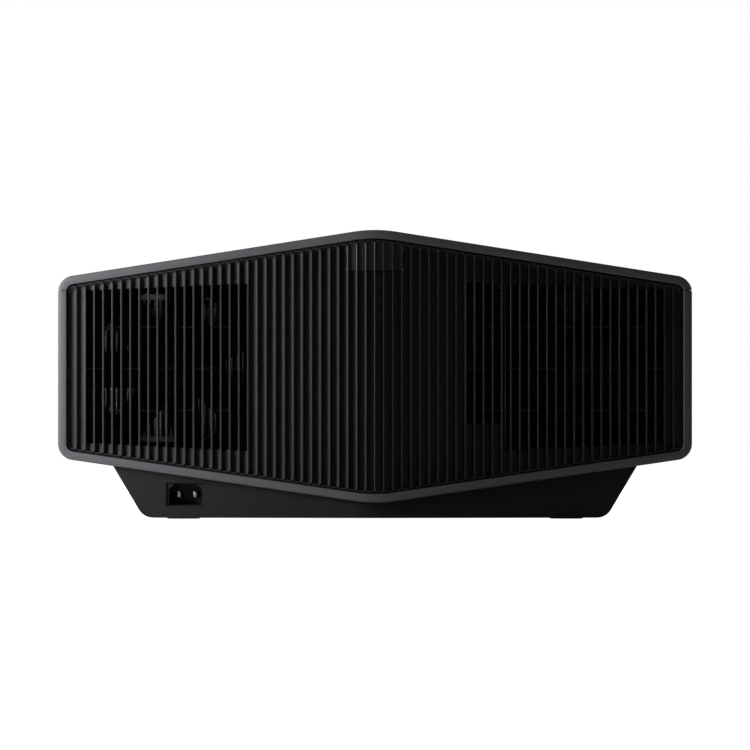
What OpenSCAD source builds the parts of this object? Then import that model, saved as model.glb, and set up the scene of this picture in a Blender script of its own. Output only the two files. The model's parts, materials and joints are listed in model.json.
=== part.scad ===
// Home cinema projector: a six-sided sleeve on a tapered plinth, ribbed end panels, two exhaust
// fans, and a lens on a motor-driven shift stage with zoom, focus and a travelling front group.
// Millimetres, +Z up. The lens looks along -Y and the mains inlet is at the back. Left and right
// are as seen from the front. The origin is on the floor under the centre of the body.

/* [Sleeve] */
// Width over the two sides
sleeve_w = 460; // [456:1:464]
// Depth from the lens surround to the rear ridge
sleeve_d = 517; // [515:1:525]
// Height where the two upper side corners would meet the sides
side_top = 175.4; // [174:0.2:177]
// Height where the two lower side corners would meet the sides
side_bottom = 44.8; // [44:0.2:46]
// Rise of the top per millimetre towards the middle
top_slope = 0.155; // [0.15:0.001:0.16]
// Fall of the bottom per millimetre towards the middle
bottom_slope = 0.144; // [0.14:0.001:0.146]
// Slope of the two flat halves of each end face, per millimetre
vee_slope = 0.155; // [0.15:0.001:0.158]
// Height of the seam between top cover and lower case
seam_z = 166.4; // [165:0.1:167]
// Width of the flat rim round each end
rim = 6.2; // [6:0.1:6.6]
// Wall thickness of the mouldings
wall = 3; // [2.8:0.1:3.2]

/* [Ribbed panels] */
// Spacing of the vertical ribs
rib_pitch = 6.572; // [6.55:0.001:6.58]
// Width of a rib's face
rib_w = 1.5; // [1.3:0.1:1.7]
// Greatest depth of the floor between two ribs
ramp_depth = 5; // [4:0.5:5]
// Depth of that floor beside the rib where it starts
floor_depth = 3.8; // [3:0.1:4]
// Depth of the open ribs in front of the air openings
blade_depth = 12; // [10:0.5:12]
// Free groove between a panel and its rim
groove = 1.1; // [1:0.1:1.2]

/* [Plinth] */
// Height of the plinth's underside over the floor
floor_gap = 1.5; // [1.4:0.1:1.8]
// Half width of the plinth at its underside
plinth_half = 167.8; // [166:0.2:170]
// Outward lean of the plinth's sides, per millimetre of height
plinth_lean = 0.592; // [0.58:0.001:0.6]

/* [Fans] */
// Side of the square fan frame
fan_side = 120; // [119:0.5:120]
// Thickness of the fan frame
fan_t = 25; // [24:0.5:26]

/* [Lens] */
// Height of the optical axis
lens_z = 110.5; // [110:0.5:111]
// Inner radius of the lens surround
surround_r = 62; // [61:0.5:63]

/* [Hidden] */
$fn = 48;

half_w = sleeve_w / 2;
half_d = sleeve_d / 2;
tall = 240;            // more than the object's height
corner_r = 12;         // side corners of the sleeve's outline
ridge_r = 100;         // rounding of every ridge down the middle
vee_a = atan(vee_slope);
surround_proud = 6;    // the lens surround stands this far before the front ridge
rear_ridge = half_d + ridge_r * (1 / cos(vee_a) - 1);
front_ridge = rear_ridge - surround_proud;
rim_len = 12;          // length of the thick rim along Y
tip_in = 2;            // rib faces lie this far inside the rim's face
floor_t = 3;           // material behind the deepest point of that floor
floor_back = tip_in + ramp_depth + floor_t;
ribs = 33;             // ribs on each side of the middle one
fit = 0.3;             // free fit between mouldings
run = 0.05;            // radial clearance of a running fit

// ---- outlines ----

function unit(v) = v / norm(v);

// Points round one rounded corner p1 between p0 and p2, in n steps.
function corner(p0, p1, p2, r, n) =
    let (u = unit(p0 - p1), v = unit(p2 - p1), half = acos(u * v) / 2,
         c = p1 + unit(u + v) * r / sin(half),
         a = p1 + u * r / tan(half), b = p1 + v * r / tan(half),
         a0 = atan2(a.y - c.y, a.x - c.x), a1 = atan2(b.y - c.y, b.x - c.x),
         turn = a1 - a0 > 180 ? a1 - a0 - 360 : a1 - a0 < -180 ? a1 - a0 + 360 : a1 - a0)
    [for (i = [0 : n]) c + r * [cos(a0 + turn * i / n), sin(a0 + turn * i / n)]];

function rounded(pts, radii, steps) =
    let (k = len(pts))
    [for (i = [0 : k - 1])
        each radii[i] > 0
            ? corner(pts[(i + k - 1) % k], pts[i], pts[(i + 1) % k], radii[i], steps[i])
            : [pts[i]]];

// The sleeve's six-sided outline in X and Z, moved inwards by d.
function outline(d) =
    let (x = half_w - d,
         zt = side_top + half_w * top_slope - d / cos(atan(top_slope)),
         zb = side_bottom - half_w * bottom_slope + d / cos(atan(bottom_slope)),
         r = max(corner_r - d, 1))
    rounded([[0, zt], [x, zt - x * top_slope], [x, zb + x * bottom_slope],
             [0, zb], [-x, zb + x * bottom_slope], [-x, zt - x * top_slope]],
            [ridge_r - d, r, r, ridge_r - d, r, r], [6, 8, 8, 6, 8, 8]);

// Height of the inner face of the sleeve's bottom at x.
function floor_z(x) = side_bottom - (half_w - abs(x)) * bottom_slope + wall;

// Y of an end face at x, inset by d; ridge is where its two flat halves would meet.
function vee_y(ridge, x, d) =
    abs(x) >= (ridge_r - d) * sin(vee_a)
        ? ridge - d / cos(vee_a) - vee_slope * abs(x)
        : ridge - ridge_r / cos(vee_a) + sqrt((ridge_r - d) ^ 2 - x * x);

function vee(ridge, d) =
    let (t = (ridge_r - d) * sin(vee_a), far = half_w + 10)
    [for (x = [-far, for (i = [-4 : 4]) t * i / 4, far]) [x, vee_y(ridge, x, d)]];

function reversed(v) = [for (i = [len(v) - 1 : -1 : 0]) v[i]];
function flipped(v) = [for (p = v) [p.x, -p.y]];

module along_y(from, to) {
    translate([0, to, 0]) rotate([90, 0, 0]) linear_extrude(height = to - from) children();
}

// Everything between the two end faces, inset by front_in and rear_in.
module between_ends(front_in, rear_in) {
    linear_extrude(height = tall)
        polygon(concat(vee(rear_ridge, rear_in), reversed(flipped(vee(front_ridge, front_in)))));
}

// A sheet that follows an end face from inset a to inset b.
module end_sheet(ridge, a, b) {
    linear_extrude(height = tall) polygon(concat(vee(ridge, a), reversed(vee(ridge, b))));
}

module through_outline(d) {
    along_y(-half_d - 20, half_d + 20) polygon(outline(d));
}

module slab(x0, x1, y0, y1, z0, z1) {
    translate([x0, y0, z0]) cube([x1 - x0, y1 - y0, z1 - z0]);
}

module post(x, y, z0, z1, r) {
    translate([x, y, z0]) cylinder(r = r, h = z1 - z0);
}

// A cylinder along Y about the point (x, z).
module rod_y(x, z, y0, y1, r) {
    translate([x, y0, z]) rotate([-90, 0, 0]) cylinder(r = r, h = y1 - y0);
}

// A cylinder along X about the point (y, z).
module rod_x(y, z, x0, x1, r) {
    translate([x0, y, z]) rotate([0, 90, 0]) cylinder(r = r, h = x1 - x0);
}

// ---- sleeve ----

io = [-34, 150, 58, 104];          // y0, y1, z0, z1 of the socket bay's opening
pad = [6, 128, 114, 158];          // the same for the key panel's opening
drawer = [-205, -183, 56, 162];    // the same for the filter drawer's opening
mount_xy = [[110, -120], [-110, -120], [110, 120], [-110, 120]];
screw_xy = [for (sx = [-1, 1], y = [-150, -40, 60, 160]) [sx * 60, y]];
foot_x = 140;
foot_y = -185;
rear_foot_y = 150;
boss_r = 7;            // ceiling-mount bosses
seam_gap = 0.4;
lap = 1.4;             // thickness of the tongue behind the seam

module sleeve() {
    difference() {
        intersection() {
            through_outline(0);
            between_ends(0, 0);
        }
        intersection() {
            through_outline(wall);
            between_ends(rim_len, rim_len);
        }
        through_outline(rim);
    }
}

// The part of the sleeve's shell between insets a and b that lies from z0 to z1.
module side_band(a, b, z0, z1) {
    intersection() {
        difference() {
            through_outline(a);
            through_outline(b);
        }
        slab(-half_w, half_w, -180, 180, z0, z1);
    }
}

module top_cover() {
    color("#202125") intersection() {
        sleeve();
        slab(-half_w - 1, half_w + 1, -half_d - 1, half_d + 1, seam_z + seam_gap / 2, tall);
    }
}

module lower_case() {
    color("#202125") difference() {
        union() {
            intersection() {
                sleeve();
                slab(-half_w - 1, half_w + 1, -half_d - 1, half_d + 1, 0, seam_z - seam_gap / 2);
            }
            // tongue that closes the seam from inside
            side_band(wall - 0.5, wall + lap, seam_z - 7, seam_z - 0.5);
            side_band(wall + 0.1, wall + lap, seam_z - 1, seam_z + 3);
        }
        slab(half_w - rim - 2, half_w + 1, io[0], io[1], io[2], io[3]);
        slab(half_w - rim - 2, half_w + 1, pad[0], pad[1], pad[2], pad[3]);
        slab(-half_w - 1, -half_w + rim + 2, drawer[0], drawer[1], drawer[2], drawer[3]);
        for (p = mount_xy) post(p.x, p.y, 0, side_bottom + 10, boss_r + fit);
        for (sx = [-1, 1]) post(sx * foot_x, foot_y, 0, side_bottom + 10, 9 + fit);
        for (p = screw_xy) post(p.x, p.y, 0, side_bottom + 10, 1.7);
    }
}

// ---- ribbed end panels ----

// Plan of one half: ribs with a floor between them that climbs towards the panel's middle.
function saw(ridge, side) =
    [for (n = [0 : ribs]) each [
        if (n > 0) [side * (n * rib_pitch - rib_w / 2),
                    vee_y(ridge, n * rib_pitch, tip_in + ramp_depth)],
        if (n > 0) [side * (n * rib_pitch - rib_w / 2), vee_y(ridge, n * rib_pitch, tip_in)],
        [side * (n * rib_pitch + rib_w / 2), vee_y(ridge, n * rib_pitch, tip_in)],
        [side * (n * rib_pitch + rib_w / 2), vee_y(ridge, n * rib_pitch, tip_in + floor_depth)]],
     [side * (ribs + 1) * rib_pitch, vee_y(ridge, (ribs + 1) * rib_pitch, tip_in + ramp_depth)]];

function saw_front(ridge) = concat(reversed(saw(ridge, -1)), saw(ridge, 1));

module saw_floor(ridge) {
    edge = (ribs + 1) * rib_pitch;
    linear_extrude(height = tall)
        polygon(concat(saw_front(ridge), [for (x = [edge, 16, 8, 0, -8, -16, -edge])
                                              [x, vee_y(ridge, x, floor_back)]]));
}

module blade(ridge, x) {
    y = vee_y(ridge, x, tip_in);
    slab(x - rib_w / 2, x + rib_w / 2, y - blade_depth, y, 0, tall);
}

// Outline of an air opening from x0 to x1; its edges run a little flatter than the sleeve.
module air_outline(x0, x1, z_low) {
    polygon([for (x = [x0, x1]) [x, max(z_low, 45.5 + 0.048 * abs(x))],
             for (x = [x1, x0]) [x, 175 - 0.041 * abs(x)]]);
}

// Short bars between neighbouring blades, two gaps on and two gaps off, in three rows.
module ties(ridge, side, first, last) {
    for (row = [-1 : 1], n = [first : last])
        if (tied(row, n)) {
            x = side * (n - 0.5) * rib_pitch;
            y = vee_y(ridge, x, tip_in);
            slab(x - rib_pitch / 2, x + rib_pitch / 2, y - blade_depth + 0.5, y - 6,
                 lens_z - 1.6 + row * 30.2, lens_z - 0.2 + row * 30.2);
        }
}

function tied(row, n) = let (k = (row == 0 ? n + 2 : n) % 4) k == 1 || k == 2;

// openings: [side, first rib, last rib, lowest z] for each air opening.
module ribbed_panel(ridge, openings) {
    intersection() {
        through_outline(rim + groove);
        union() {
            difference() {
                saw_floor(ridge);
                for (o = openings)
                    along_y(-half_d, half_d + 10)
                        air_outline(o[0] * o[1] * rib_pitch, o[0] * o[2] * rib_pitch, o[3]);
            }
            for (o = openings) {
                for (n = [o[1] : o[2]]) blade(ridge, o[0] * n * rib_pitch);
                ties(ridge, o[0], o[1] + 1, o[2]);
            }
        }
    }
    // flange that meets the inside of the rim
    intersection() {
        difference() {
            through_outline(rim + fit);
            through_outline(rim + groove + 2);
        }
        end_sheet(ridge, floor_back - floor_t, floor_back);
    }
}

ir_half = 3 * rib_pitch + rib_w / 2;
ir_top = 206;
rear_ir_z = 180.6;
front_ir_z = 189.6;
rear_openings = [[1, 14, 32, 0], [-1, 14, 32, 0], [-1, 10, 14, 69.8]];

module rear_grille() {
    color("#17181b") difference() {
        ribbed_panel(rear_ridge, rear_openings);
        slab(-ir_half, ir_half, half_d - 30, half_d + 5, rear_ir_z, ir_top);
    }
}

ring_out = 78;

module front_half(side) {
    color("#17181b") difference() {
        intersection() {
            mirror([0, 1, 0])
                ribbed_panel(front_ridge, side < 0 ? [[-1, 14, 32, 0]] : []);
            slab(side < 0 ? -half_w : 0.1, side < 0 ? -0.1 : half_w, -half_d, 0, 0, tall);
        }
        rod_y(0, lens_z, -half_d - 5, 0, ring_out + fit);
        slab(-ir_half, ir_half, -half_d - 5, 0, front_ir_z, ir_top);
    }
}

// A remote-control receiver's window, ribbed like the panel that it sits in but shallower.
module ir_window(ridge, z) {
    shallow = tip_in + 2.4;
    x = ir_half + 4;
    intersection() {
        slab(-ir_half + 0.2, ir_half - 0.2, 0, half_d + 5, z + 0.2, ir_top);
        through_outline(rim + groove);
        linear_extrude(height = tall)
            polygon(concat([for (p = saw_front(ridge)) if (abs(p.x) < x)
                                [p.x, max(p.y, vee_y(ridge, p.x, shallow))]],
                           [for (sx = [1, -1]) [sx * x, ridge - floor_back - 4]]));
    }
}

module ir_windows() {
    color("#101013") {
        ir_window(rear_ridge, rear_ir_z);
        mirror([0, 1, 0]) ir_window(front_ridge, front_ir_z);
    }
}

module lens_bezel() {
    length = 27;
    color("#1b1c20") translate([0, -half_d, lens_z]) rotate([-90, 0, 0]) rotate_extrude($fn = 96)
        polygon([[surround_r + 4, 0], [ring_out - 1.5, 0], [ring_out, 1.5], [ring_out, length],
                 [surround_r, length], [surround_r, 6]]);
}

// ---- plinth, chassis and feet ----

plinth_in = 6;         // the plinth's rear face lies this far inside the rim
plinth_front_in = 20;
plinth_r = 12;

function plinth(d) =
    let (b = plinth_half - d * (1 / cos(atan(plinth_lean)) - plinth_lean),
         z0 = floor_gap + d, z1 = 60, r = plinth_r - d, t = b + plinth_lean * (z1 - z0))
    rounded([[b, z0], [t, z1], [-t, z1], [-b, z0]], [r, 0, 0, r], [6, 0, 0, 6]);

module plinth_block(d) {
    intersection() {
        along_y(-half_d, half_d) polygon(plinth(d));
        between_ends(plinth_front_in + d, plinth_in + d);
    }
}

cup_r = 18;
cup_top = 13;
inlet_x = 137.5;
inlet_z = 18.4;
inlet_y = vee_y(rear_ridge, inlet_x, plinth_in);

// Local frame at the mains inlet: X along the wall, Y outwards, the origin on the wall's face.
module at_inlet() {
    translate([inlet_x, inlet_y, inlet_z]) rotate([0, 0, -vee_a]) children();
}

module base_cover() {
    color("#1c1e20") difference() {
        union() {
            difference() {
                plinth_block(0);
                plinth_block(wall);
            }
            for (sx = [-1, 1]) post(sx * foot_x, foot_y, floor_gap, cup_top, cup_r + 2);
        }
        through_outline(0);
        for (sx = [-1, 1]) {
            post(sx * foot_x, foot_y, 0, cup_top - 2, cup_r);
            post(sx * foot_x, foot_y, 0, cup_top + 1, 9 + fit);
            post(sx * foot_x, rear_foot_y, 0, 10, 3);
        }
        for (p = mount_xy) post(p.x, p.y, 0, 10, boss_r + fit);
        for (p = screw_xy) post(p.x, p.y, 0, 10, 4);
        at_inlet() slab(-14, 14, -10, 10, -8.4, 8.4);
    }
}

plate_z = 47;
plate_t = 2.5;
deck = plate_z + plate_t;
thread_r = 2.1;        // core of an M5 thread
foot_r = 4;            // shaft of an adjustable foot

module chassis_plate() {
    color("#9a9da1") difference() {
        union() {
            difference() {
                intersection() {
                    slab(-212, 212, -196, half_d, plate_z, deck);
                    between_ends(rim_len, 20);
                }
                // room for the lens
                slab(-95, 95, -197, -165, plate_z - 1, deck + 1);
            }
            for (p = mount_xy) post(p.x, p.y, floor_gap, plate_z, boss_r);
            for (sx = [-1, 1]) post(sx * foot_x, foot_y, cup_top - 2 + fit, plate_z, 9);
            intersection() {
                through_outline(wall);
                for (p = screw_xy) post(p.x, p.y, 0, plate_z, 4);
            }
        }
        for (p = mount_xy) post(p.x, p.y, 0, floor_gap + 20, thread_r);
        for (sx = [-1, 1]) post(sx * foot_x, foot_y, 5, deck + 1, foot_r + run);
        for (p = screw_xy) post(p.x, p.y, 10, deck + 1, 1.5);
        // cable and cooling holes
        for (sx = [-1, 1], y = [-20, 40]) post(sx * 170, y, plate_z - 1, deck + 1, 12);
    }
}

// Self-tapping case screws from below, and the fan screws.
module screws() {
    color("#77797c") {
        for (p = screw_xy) {
            post(p.x, p.y, floor_z(p.x) - wall - 2.6, floor_z(p.x) - wall - 0.6, 3);
            post(p.x, p.y, floor_z(p.x) - wall - 1, floor_z(p.x) + 16, 1.5);
        }
        for (x = fan_x) at_fan(x) for (i = [-1, 1], j = [-1, 1]) {
            rod_y(i * fan_hole, j * fan_hole, -fan_t / 2 - 4.6, -fan_t / 2 - 2, 3.6);
            rod_y(i * fan_hole, j * fan_hole, -fan_t / 2 - 2, -fan_t / 2 + 12, 2.1);
        }
    }
}

module foot_pad(sx) {
    color("#111111") {
        post(sx * foot_x, foot_y, 0, 2.8, 14.5);
        post(sx * foot_x, foot_y, 2.8, 5.8, 3);
    }
}

// A knurled dial on a threaded shaft; it turns on the pad's stub.
module foot_dial(sx) {
    color("#3a3b3e") translate([sx * foot_x, foot_y, 0]) difference() {
        union() {
            post(0, 0, 3.1, 10, 15);
            for (i = [0 : 23]) rotate([0, 0, i * 15]) slab(14, 16, -0.9, 0.9, 3.1, 10);
            post(0, 0, 9, 40, foot_r);
        }
        post(0, 0, 2, 6.2, 3 + run);
    }
}

module rear_feet() {
    color("#111111") for (sx = [-1, 1]) {
        post(sx * foot_x, rear_foot_y, 0, floor_gap, 12);
        post(sx * foot_x, rear_foot_y, floor_gap, floor_gap + 5, 3);
    }
}

// ---- mains inlet ----

module inlet_outline(w, h, chamfer) {
    polygon([[-w / 2, -h / 2], [w / 2, -h / 2], [w / 2, h / 2 - chamfer],
             [w / 2 - chamfer, h / 2], [-w / 2 + chamfer, h / 2], [-w / 2, h / 2 - chamfer]]);
}

pin_x = 5.8;

module mains_inlet() {
    color("#0d0d0e") at_inlet() difference() {
        union() {
            slab(-17, 17, -26, -wall, -10.5, 10.5);
            slab(-13.8, 13.8, -wall, -1.6, -8.2, 8.2);
        }
        along_y(-22, 1) inlet_outline(24.4, 15, 4);
        for (x = [-pin_x, pin_x]) slab(x - 1, x + 1, -27, -20, -2, 2);
    }
}

module inlet_pins() {
    color("#d8d8d4") at_inlet() for (x = [-pin_x, pin_x]) slab(x - 1, x + 1, -30, -8, -2, 2);
}

// ---- socket bay ----

bay_x = 213;          // back plate of the socket bay
sock_x = 206;         // inner end of the sockets
sock_z = 81;
hdmi_y = [-10, 14];
lan_y = 42;
usb_y = 66;
serial_y = 96;
jack_y = [124, 138];
jack_r = 1.8;

module io_panel() {
    color("#1a1b1e") difference() {
        slab(bay_x, half_w - 0.6, io[0] + fit, io[1] - fit, io[2] + fit, io[3] - fit);
        slab(bay_x + 2, half_w + 1, io[0] + 2, io[1] - 2, io[2] + 2, io[3] - 2);
        for (y = hdmi_y) slab(bay_x - 1, bay_x + 3, y - 8, y + 8, sock_z - 3.2, sock_z + 3.2);
        slab(bay_x - 1, bay_x + 3, lan_y - 8.2, lan_y + 8.2, sock_z - 7, sock_z + 7);
        slab(bay_x - 1, bay_x + 3, usb_y - 7, usb_y + 7, sock_z - 3.4, sock_z + 3.4);
        slab(bay_x - 1, bay_x + 3, serial_y - 10.6, serial_y + 10.6, sock_z - 5.4, sock_z + 5.4);
        for (y = jack_y) rod_x(y, sock_z, bay_x - 1, bay_x + 3, 3.7);
    }
}

// A rectangular metal socket: half width, half height and wall of its shell.
module shell(y, z, hw, hh, t, x0) {
    difference() {
        slab(x0, bay_x + 3, y - hw, y + hw, z - hh, z + hh);
        slab(x0 + 1, bay_x + 4, y - hw + t, y + hw - t, z - hh + t, z + hh - t);
    }
}

// Two video sockets, a network, a USB and a nine-pin serial socket.
module metal_sockets() {
    color("#b9bbbd") {
        for (y = hdmi_y) {
            shell(y, sock_z, 7.7, 2.9, 0.6, sock_x);
            slab(sock_x + 1, bay_x + 1, y - 5, y + 5, sock_z + 0.2, sock_z + 1);
        }
        shell(lan_y, sock_z, 8, 6.8, 1.4, sock_x - 4);
        shell(usb_y, sock_z, 6.8, 3.2, 0.6, sock_x - 4);
        slab(sock_x - 3, bay_x + 1, usb_y - 5.6, usb_y + 5.6, sock_z + 0.3, sock_z + 1.9);
        difference() {
            slab(sock_x, bay_x + 5, serial_y - 10.4, serial_y + 10.4, sock_z - 5.2, sock_z + 5.2);
            translate([bay_x + 1, serial_y, sock_z]) rotate([90, 0, 90]) linear_extrude(height = 6)
                polygon([[-9.2, 4.2], [9.2, 4.2], [8.2, -4.2], [-8.2, -4.2]]);
        }
        for (row = [0, 1], i = [0 : 4 - row])
            rod_x(serial_y + (i - 2 + row / 2) * 2.8, sock_z + 1.4 - row * 2.8, bay_x + 1,
                  bay_x + 4, 0.5);
    }
}

module trigger_jacks() {
    color("#2b2c2e") for (y = jack_y) difference() {
        union() {
            slab(sock_x - 6, bay_x, y - 5.5, y + 5.5, sock_z - 5.5, sock_z + 5.5);
            rod_x(y, sock_z, bay_x, bay_x + 4, 3.5);
        }
        rod_x(y, sock_z, sock_x - 5, bay_x + 5, jack_r);
    }
}

// ---- key panel ----

key_x = 225;          // back of the key panel
key_face = 228;       // its face, recessed into the side
key_z = 136;
key_r = 4.4;
nav_y = 88;
nav_step = 15;
pair_y = 52;
led_y = [16, 26, 36];
led_z = key_z - 15;
// y, z and radius of each key
power_key = [26, key_z, 6];
input_key = [pair_y, key_z - 9, key_r];
menu_key = [pair_y, key_z + 9, key_r];
enter_key = [nav_y, key_z, 5];
up_key = [nav_y, key_z + nav_step, key_r];
down_key = [nav_y, key_z - nav_step, key_r];
left_key = [nav_y + nav_step, key_z, key_r];
right_key = [nav_y - nav_step, key_z, key_r];
keys = [power_key, input_key, menu_key, enter_key, up_key, down_key, left_key, right_key];

module keypad_panel() {
    color("#15161a") difference() {
        union() {
            slab(key_x, key_face, pad[0] + fit, pad[1] - fit, pad[2] + fit, pad[3] - fit);
            // the switch board behind it stands on four posts
            slab(216, 217.6, pad[0] + 2, pad[1] - 2, pad[2] + 4, pad[3] - 4);
            for (y = [pad[0] + 5, pad[1] - 5], z = [pad[2] + 7, pad[3] - 7])
                rod_x(y, z, 217.6, key_x, 2);
        }
        for (k = keys) rod_x(k[0], k[1], key_x - 1, key_face + 1, k[2] + fit);
        for (y = led_y) rod_x(y, led_z, key_x - 1, key_face + 1, 1.3);
    }
}

module key(k) {
    color("#1f2125") {
        rod_x(k[0], k[1], 222.4, key_face + 1.6, k[2]);
        rod_x(k[0], k[1], 220.4, 222.4, k[2] + 1);
    }
}

module status_lens() {
    color("#c9d2da") for (y = led_y) rod_x(y, led_z, 218, key_face + 0.2, 1.3);
}

// ---- filter drawer ----

module filter_cover() {
    color("#202125") difference() {
        union() {
            slab(-half_w, -half_w + wall, drawer[0] + fit, drawer[1] - fit,
                 drawer[2] + fit, drawer[3] - fit);
            // ledges that hold the filter's edge
            for (z = [61, 153]) slab(-half_w + wall, -half_w + wall + 8, -200, -188, z, z + 4);
        }
        // finger scoop
        translate([-half_w - 5, -194, 109]) rotate([90, 0, 0])
            cylinder(r = 6.5, h = 12, center = true);
    }
}

module air_filter() {
    x0 = -half_w + wall;
    color("#8d9094") {
        difference() {
            slab(x0, -88, -200, -188, 65, 153);
            for (i = [0 : 12]) slab(x0 + 5 + i * 10, x0 + 12 + i * 10, -201, -187, 70, 148);
        }
        // pleated medium in the frame
        slab(x0 + 4, -93, -196, -192, 69, 149);
    }
}

// ---- exhaust fans ----

fan_x = [-156.5, 147.5];
fan_in = 18;          // from the rim's plane to the fan
fan_z = 110;
fan_hole = 52.5;
bore_r = 58.4;
hub_r = 20;
blades = 7;

// Local frame at a fan: Y outwards along its axis, the origin in its middle.
module at_fan(x) {
    translate([x, vee_y(rear_ridge, x, fan_in + fan_t / 2), fan_z])
        rotate([0, 0, -sign(x) * vee_a]) children();
}

// Square frames, each with a round duct and four spokes to a motor seat on the inner side.
module fan_frames() {
    color("#18191b") for (x = fan_x) at_fan(x) {
        difference() {
            slab(-fan_side / 2, fan_side / 2, -fan_t / 2, fan_t / 2, -fan_side / 2, fan_side / 2);
            rod_y(0, 0, -fan_t, fan_t, bore_r);
            for (i = [-1, 1], j = [-1, 1]) rod_y(i * fan_hole, j * fan_hole, -fan_t, fan_t, 2.15);
        }
        difference() {
            union() {
                rod_y(0, 0, -fan_t / 2 + 0.3, -fan_t / 2 + 3.3, 22);
                for (i = [0 : 3]) rotate([0, 45 + i * 90, 0])
                    slab(hub_r, bore_r + 1, -fan_t / 2 + 0.5, -fan_t / 2 + 3, -2.2, 2.2);
            }
            rod_y(0, 0, -fan_t, 0, 2 + run);
        }
    }
}

// Sheet-metal brackets that stand the fans on the chassis.
module fan_brackets() {
    back = -fan_t / 2 - 2;
    color("#9a9da1") for (x = fan_x) at_fan(x) difference() {
        union() {
            slab(-61, 61, back, back + 2, deck - fan_z, 62);
            slab(-61, 61, back - 12, back, deck - fan_z, deck - fan_z + 2);
        }
        rod_y(0, 0, back - 1, back + 3, bore_r);
        for (i = [-1, 1], j = [-1, 1]) rod_y(i * fan_hole, j * fan_hole, back - 1, back + 3, 2.15);
    }
}

module fan_rotor(x) {
    color("#232427") at_fan(x) {
        rod_y(0, 0, -fan_t / 2 + 4, fan_t / 2 - 2, hub_r);
        rod_y(0, 0, -fan_t / 2 + 0.4, -fan_t / 2 + 4, 2);
        for (i = [0 : blades - 1]) rotate([0, i * 360 / blades, 0])
            intersection() {
                difference() {
                    rod_y(0, 0, -fan_t / 2 + 4.5, fan_t / 2 - 2.5, bore_r - 1.4);
                    rod_y(0, 0, -fan_t, fan_t, hub_r - 0.5);
                }
                rotate([38, 0, 0]) slab(hub_r - 4, bore_r, -0.9, 0.9, -22, 22);
            }
    }
}

// ---- boards, light source and optics ----

module main_board() {
    chips = [[-60, -30, 34], [20, 20, 40], [-50, 60, 26]];
    color("#1f5b3a") {
        slab(-96, 96, -60, 110, 168, 169.6);
        for (c = chips) slab(c.x, c.x + c[2], c.y, c.y + c[2], 169.6, 172.4);
        for (x = [-60, 20], y = [-54, 56]) post(x, y, 160, 168, 3);
    }
}

module power_supply() {
    top = 55.6;
    color("#6b5a2c") {
        slab(-208, -100, -20, 150, 54, top);
        for (x = [-202, -106], y = [-14, 144]) post(x, y, deck, 54, 3);
        slab(-190, -150, 10, 55, top, 90);
        slab(-140, -110, 20, 60, top, 82);
        for (i = [0 : 3]) post(-185 + i * 20, 84, top, 95, 8.5);
        for (i = [0 : 2]) slab(-196, -116, 108 + i * 12, 110.5 + i * 12, top, 96);
    }
}

pipe_r = 12;

module laser_module() {
    color("#b0743f") {
        slab(104, 196, 30, 92, 56, 118);
        for (x = [110, 190], y = [36, 86]) post(x, y, deck, 56, 4);
        rod_x(60, 88, 46, 104, pipe_r);
    }
}

sink = [96, 200, 142, 176];    // x0, x1, y0, y1 of the fin stack
bend = 12;                     // radius of a heat pipe's bend
pipe_top = 146;

// Heat pipes: up from the laser block, round a bend, and back into the fin stack's plate.
module heat_pipes() {
    color("#c07c48") for (i = [0 : 4]) translate([118 + i * 16, 60, 0]) {
        post(0, 0, 118, pipe_top - bend, 3);
        translate([0, bend, pipe_top - bend]) rotate([90, 0, 90])
            rotate_extrude(angle = 90, start = 90) translate([bend, 0]) circle(r = 3);
        rod_y(0, pipe_top, bend, sink[2] - 60, 3);
    }
}

module heat_sink() {
    color("#c9ccce") {
        for (z = [56, 160]) slab(sink[0], sink[1], sink[2], sink[3], z, z + 4);
        for (i = [0 : 25]) slab(sink[0] + i * 4, sink[0] + i * 4 + 1, sink[2], sink[3], 60, 160);
        slab(sink[0], sink[1], sink[2], sink[2] + 4, 138, 154);
        for (x = [104, 190], y = [150, 168]) post(x, y, deck, 56, 3);
    }
}

module optical_housing() {
    color("#3c3e42") difference() {
        union() {
            slab(-94, 58, -88, 80, 60, 160);
            for (x = [-86, 50], y = [-80, 72]) post(x, y, deck, 60, 5);
        }
        // room for the imagers, and the light's way in
        slab(-34, 34, -90, -26, 76, 145);
        rod_x(60, 88, 44, 60, pipe_r);
    }
}

// The recombining prism on its post, with an imager on each of three sides.
module imager_block() {
    h = 17;
    color("#7d93a8") {
        slab(-h, h, -80, -46, lens_z - h, lens_z + h);
        for (sx = [-1, 1]) slab(sx * 19.5 - 2.5, sx * 19.5 + 2.5, -84, -42, lens_z - 20, lens_z + 20);
        slab(-22, 22, -46, -41, lens_z - 20, lens_z + 20);
        post(0, -63, 76, lens_z - h, 6);
    }
}

// ---- lens shift stage ----

guide_r = 4;
v_rod_x = 74;
v_y = -134;
v_screw_x = 56;
v_screw_r = 3;
h_y = -118;
h_rod_dz = 43;
h_screw_y = -104;
h_screw_z = lens_z + 49.5;
h_screw_r = 2.5;
base_top = 170;

// An upright plate with a lens opening and brackets for the upright rods and screw.
module shift_base() {
    color("#8b8e92") difference() {
        union() {
            slab(-88, 88, -150, -145, deck, 178);
            for (sx = [-1, 1]) {
                slab(sx * v_rod_x - 8, sx * v_rod_x + 8, -145, -127, base_top, base_top + 8);
                slab(sx * v_rod_x - 8, sx * v_rod_x + 8, -145, -127, deck, deck + 2.5);
            }
            slab(46, 65, -145, -127, base_top, base_top + 2);
            slab(50, 62, -145, -127, deck, deck + 2.5);
        }
        slab(-50, 50, -151, -144, lens_z - 52, lens_z + 52);
        for (sx = [-1, 1]) post(sx * v_rod_x, v_y, deck - 1, 180, guide_r);
        post(v_screw_x, v_y, deck - 1, base_top + 3, v_screw_r + run);
    }
}

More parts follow.
